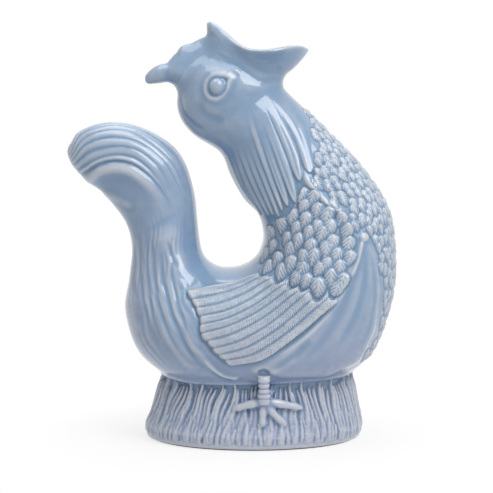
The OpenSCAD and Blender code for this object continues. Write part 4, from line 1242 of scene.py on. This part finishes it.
def seen_rays(g):
    """1 for the rays that show the background: to the camera, in gloss and through glass"""
    camera, gloss, glass = (g.add("ShaderNodeLightPath", out=ray) for ray in (
        "Is Camera Ray", "Is Glossy Ray", "Is Transmission Ray"))
    return camera.math("MAXIMUM", gloss).math("MAXIMUM", glass)


def pale_floor():
    """Floor that reads white to the camera and keeps the jug's shadow"""
    bpy.ops.mesh.primitive_plane_add(size=30.0, location=(0, 0, 0))
    floor = bpy.context.object
    floor.name = "floor"
    material, g, shader = new_material("pale_floor")
    shader.inputs["Base Color"].default_value = (0.86, 0.86, 0.87, 1)
    shader.inputs["Roughness"].default_value = 0.9
    place = g.add("ShaderNodeTexCoord", out="Object")
    away = g.add("ShaderNodeVectorMath", {"operation": "LENGTH"}, {0: place}, out="Value")
    shine = seen_rays(g) * ((away - 0.05) * 3.0 + 0.78).clamp(0.0, 1.0)
    g.blend("Material Output", shine, shader, g.add("ShaderNodeEmission"))
    floor.data.materials.append(material)


def studio_world():
    """Dim sky for the light, with white where the rays show the background"""
    world = bpy.data.worlds.new("studio")
    bpy.context.scene.world = world
    world.use_nodes = True
    sky = world.node_tree.nodes["Background"]
    sky.inputs[0].default_value = (0.93, 0.95, 1.0, 1)
    sky.inputs[1].default_value = 0.12
    g = Graph(world.node_tree)
    g.blend("World Output", seen_rays(g), sky, g.add("ShaderNodeBackground", {}, {0: (1, 1, 1, 1)}))


# Soft boxes: name, place, width, height and power
LAMPS = [
    ("key_box", (0.69, -0.87, 1.36), 0.92, 1.20, 21.0),
    ("fill_box", (-1.20, -0.70, 0.75), 0.60, 1.10, 0.7),
    ("top_box", (-0.15, 0.10, 1.35), 1.4, 0.9, 9.5)]
# Focal length of the camera in millimetres, and the height that it aims at
LENS, AIM_HEIGHT = 147.6, 0.1144


def aim(thing, target):
    """Turns a lamp or camera towards a target"""
    thing.rotation_euler = (Vector(target) - thing.location).to_track_quat("-Z", "Y").to_euler()


def stage():
    """Floor, background, soft boxes and camera"""
    pale_floor()
    studio_world()
    for name, place, wide, high, power in LAMPS:
        bpy.ops.object.light_add(type="AREA", location=place)
        lamp = bpy.context.object
        lamp.name = name
        lamp.data.shape = "RECTANGLE"
        lamp.data.size, lamp.data.size_y, lamp.data.energy = wide, high, power
        aim(lamp, (0.0, 0.0, 0.12))
    middle = VIEW_MIDDLE * MM
    bpy.ops.object.camera_add(location=(middle, -1.2, VIEW_HEIGHT * MM))
    camera = bpy.context.object
    aim(camera, (middle, 0, AIM_HEIGHT))
    camera.data.lens = LENS
    camera.data.sensor_width = 36.0
    bpy.context.scene.camera = camera
    bpy.context.scene.view_settings.view_transform = "Standard"


casting = fused_skin()
clay = Clay(casting)
bpy.data.objects.remove(casting)
carve(clay)
read_relief(clay)
blue = glaze()
part_casting(clay, blue)
throat_lining(blue)
foot(bare_clay())
stage()
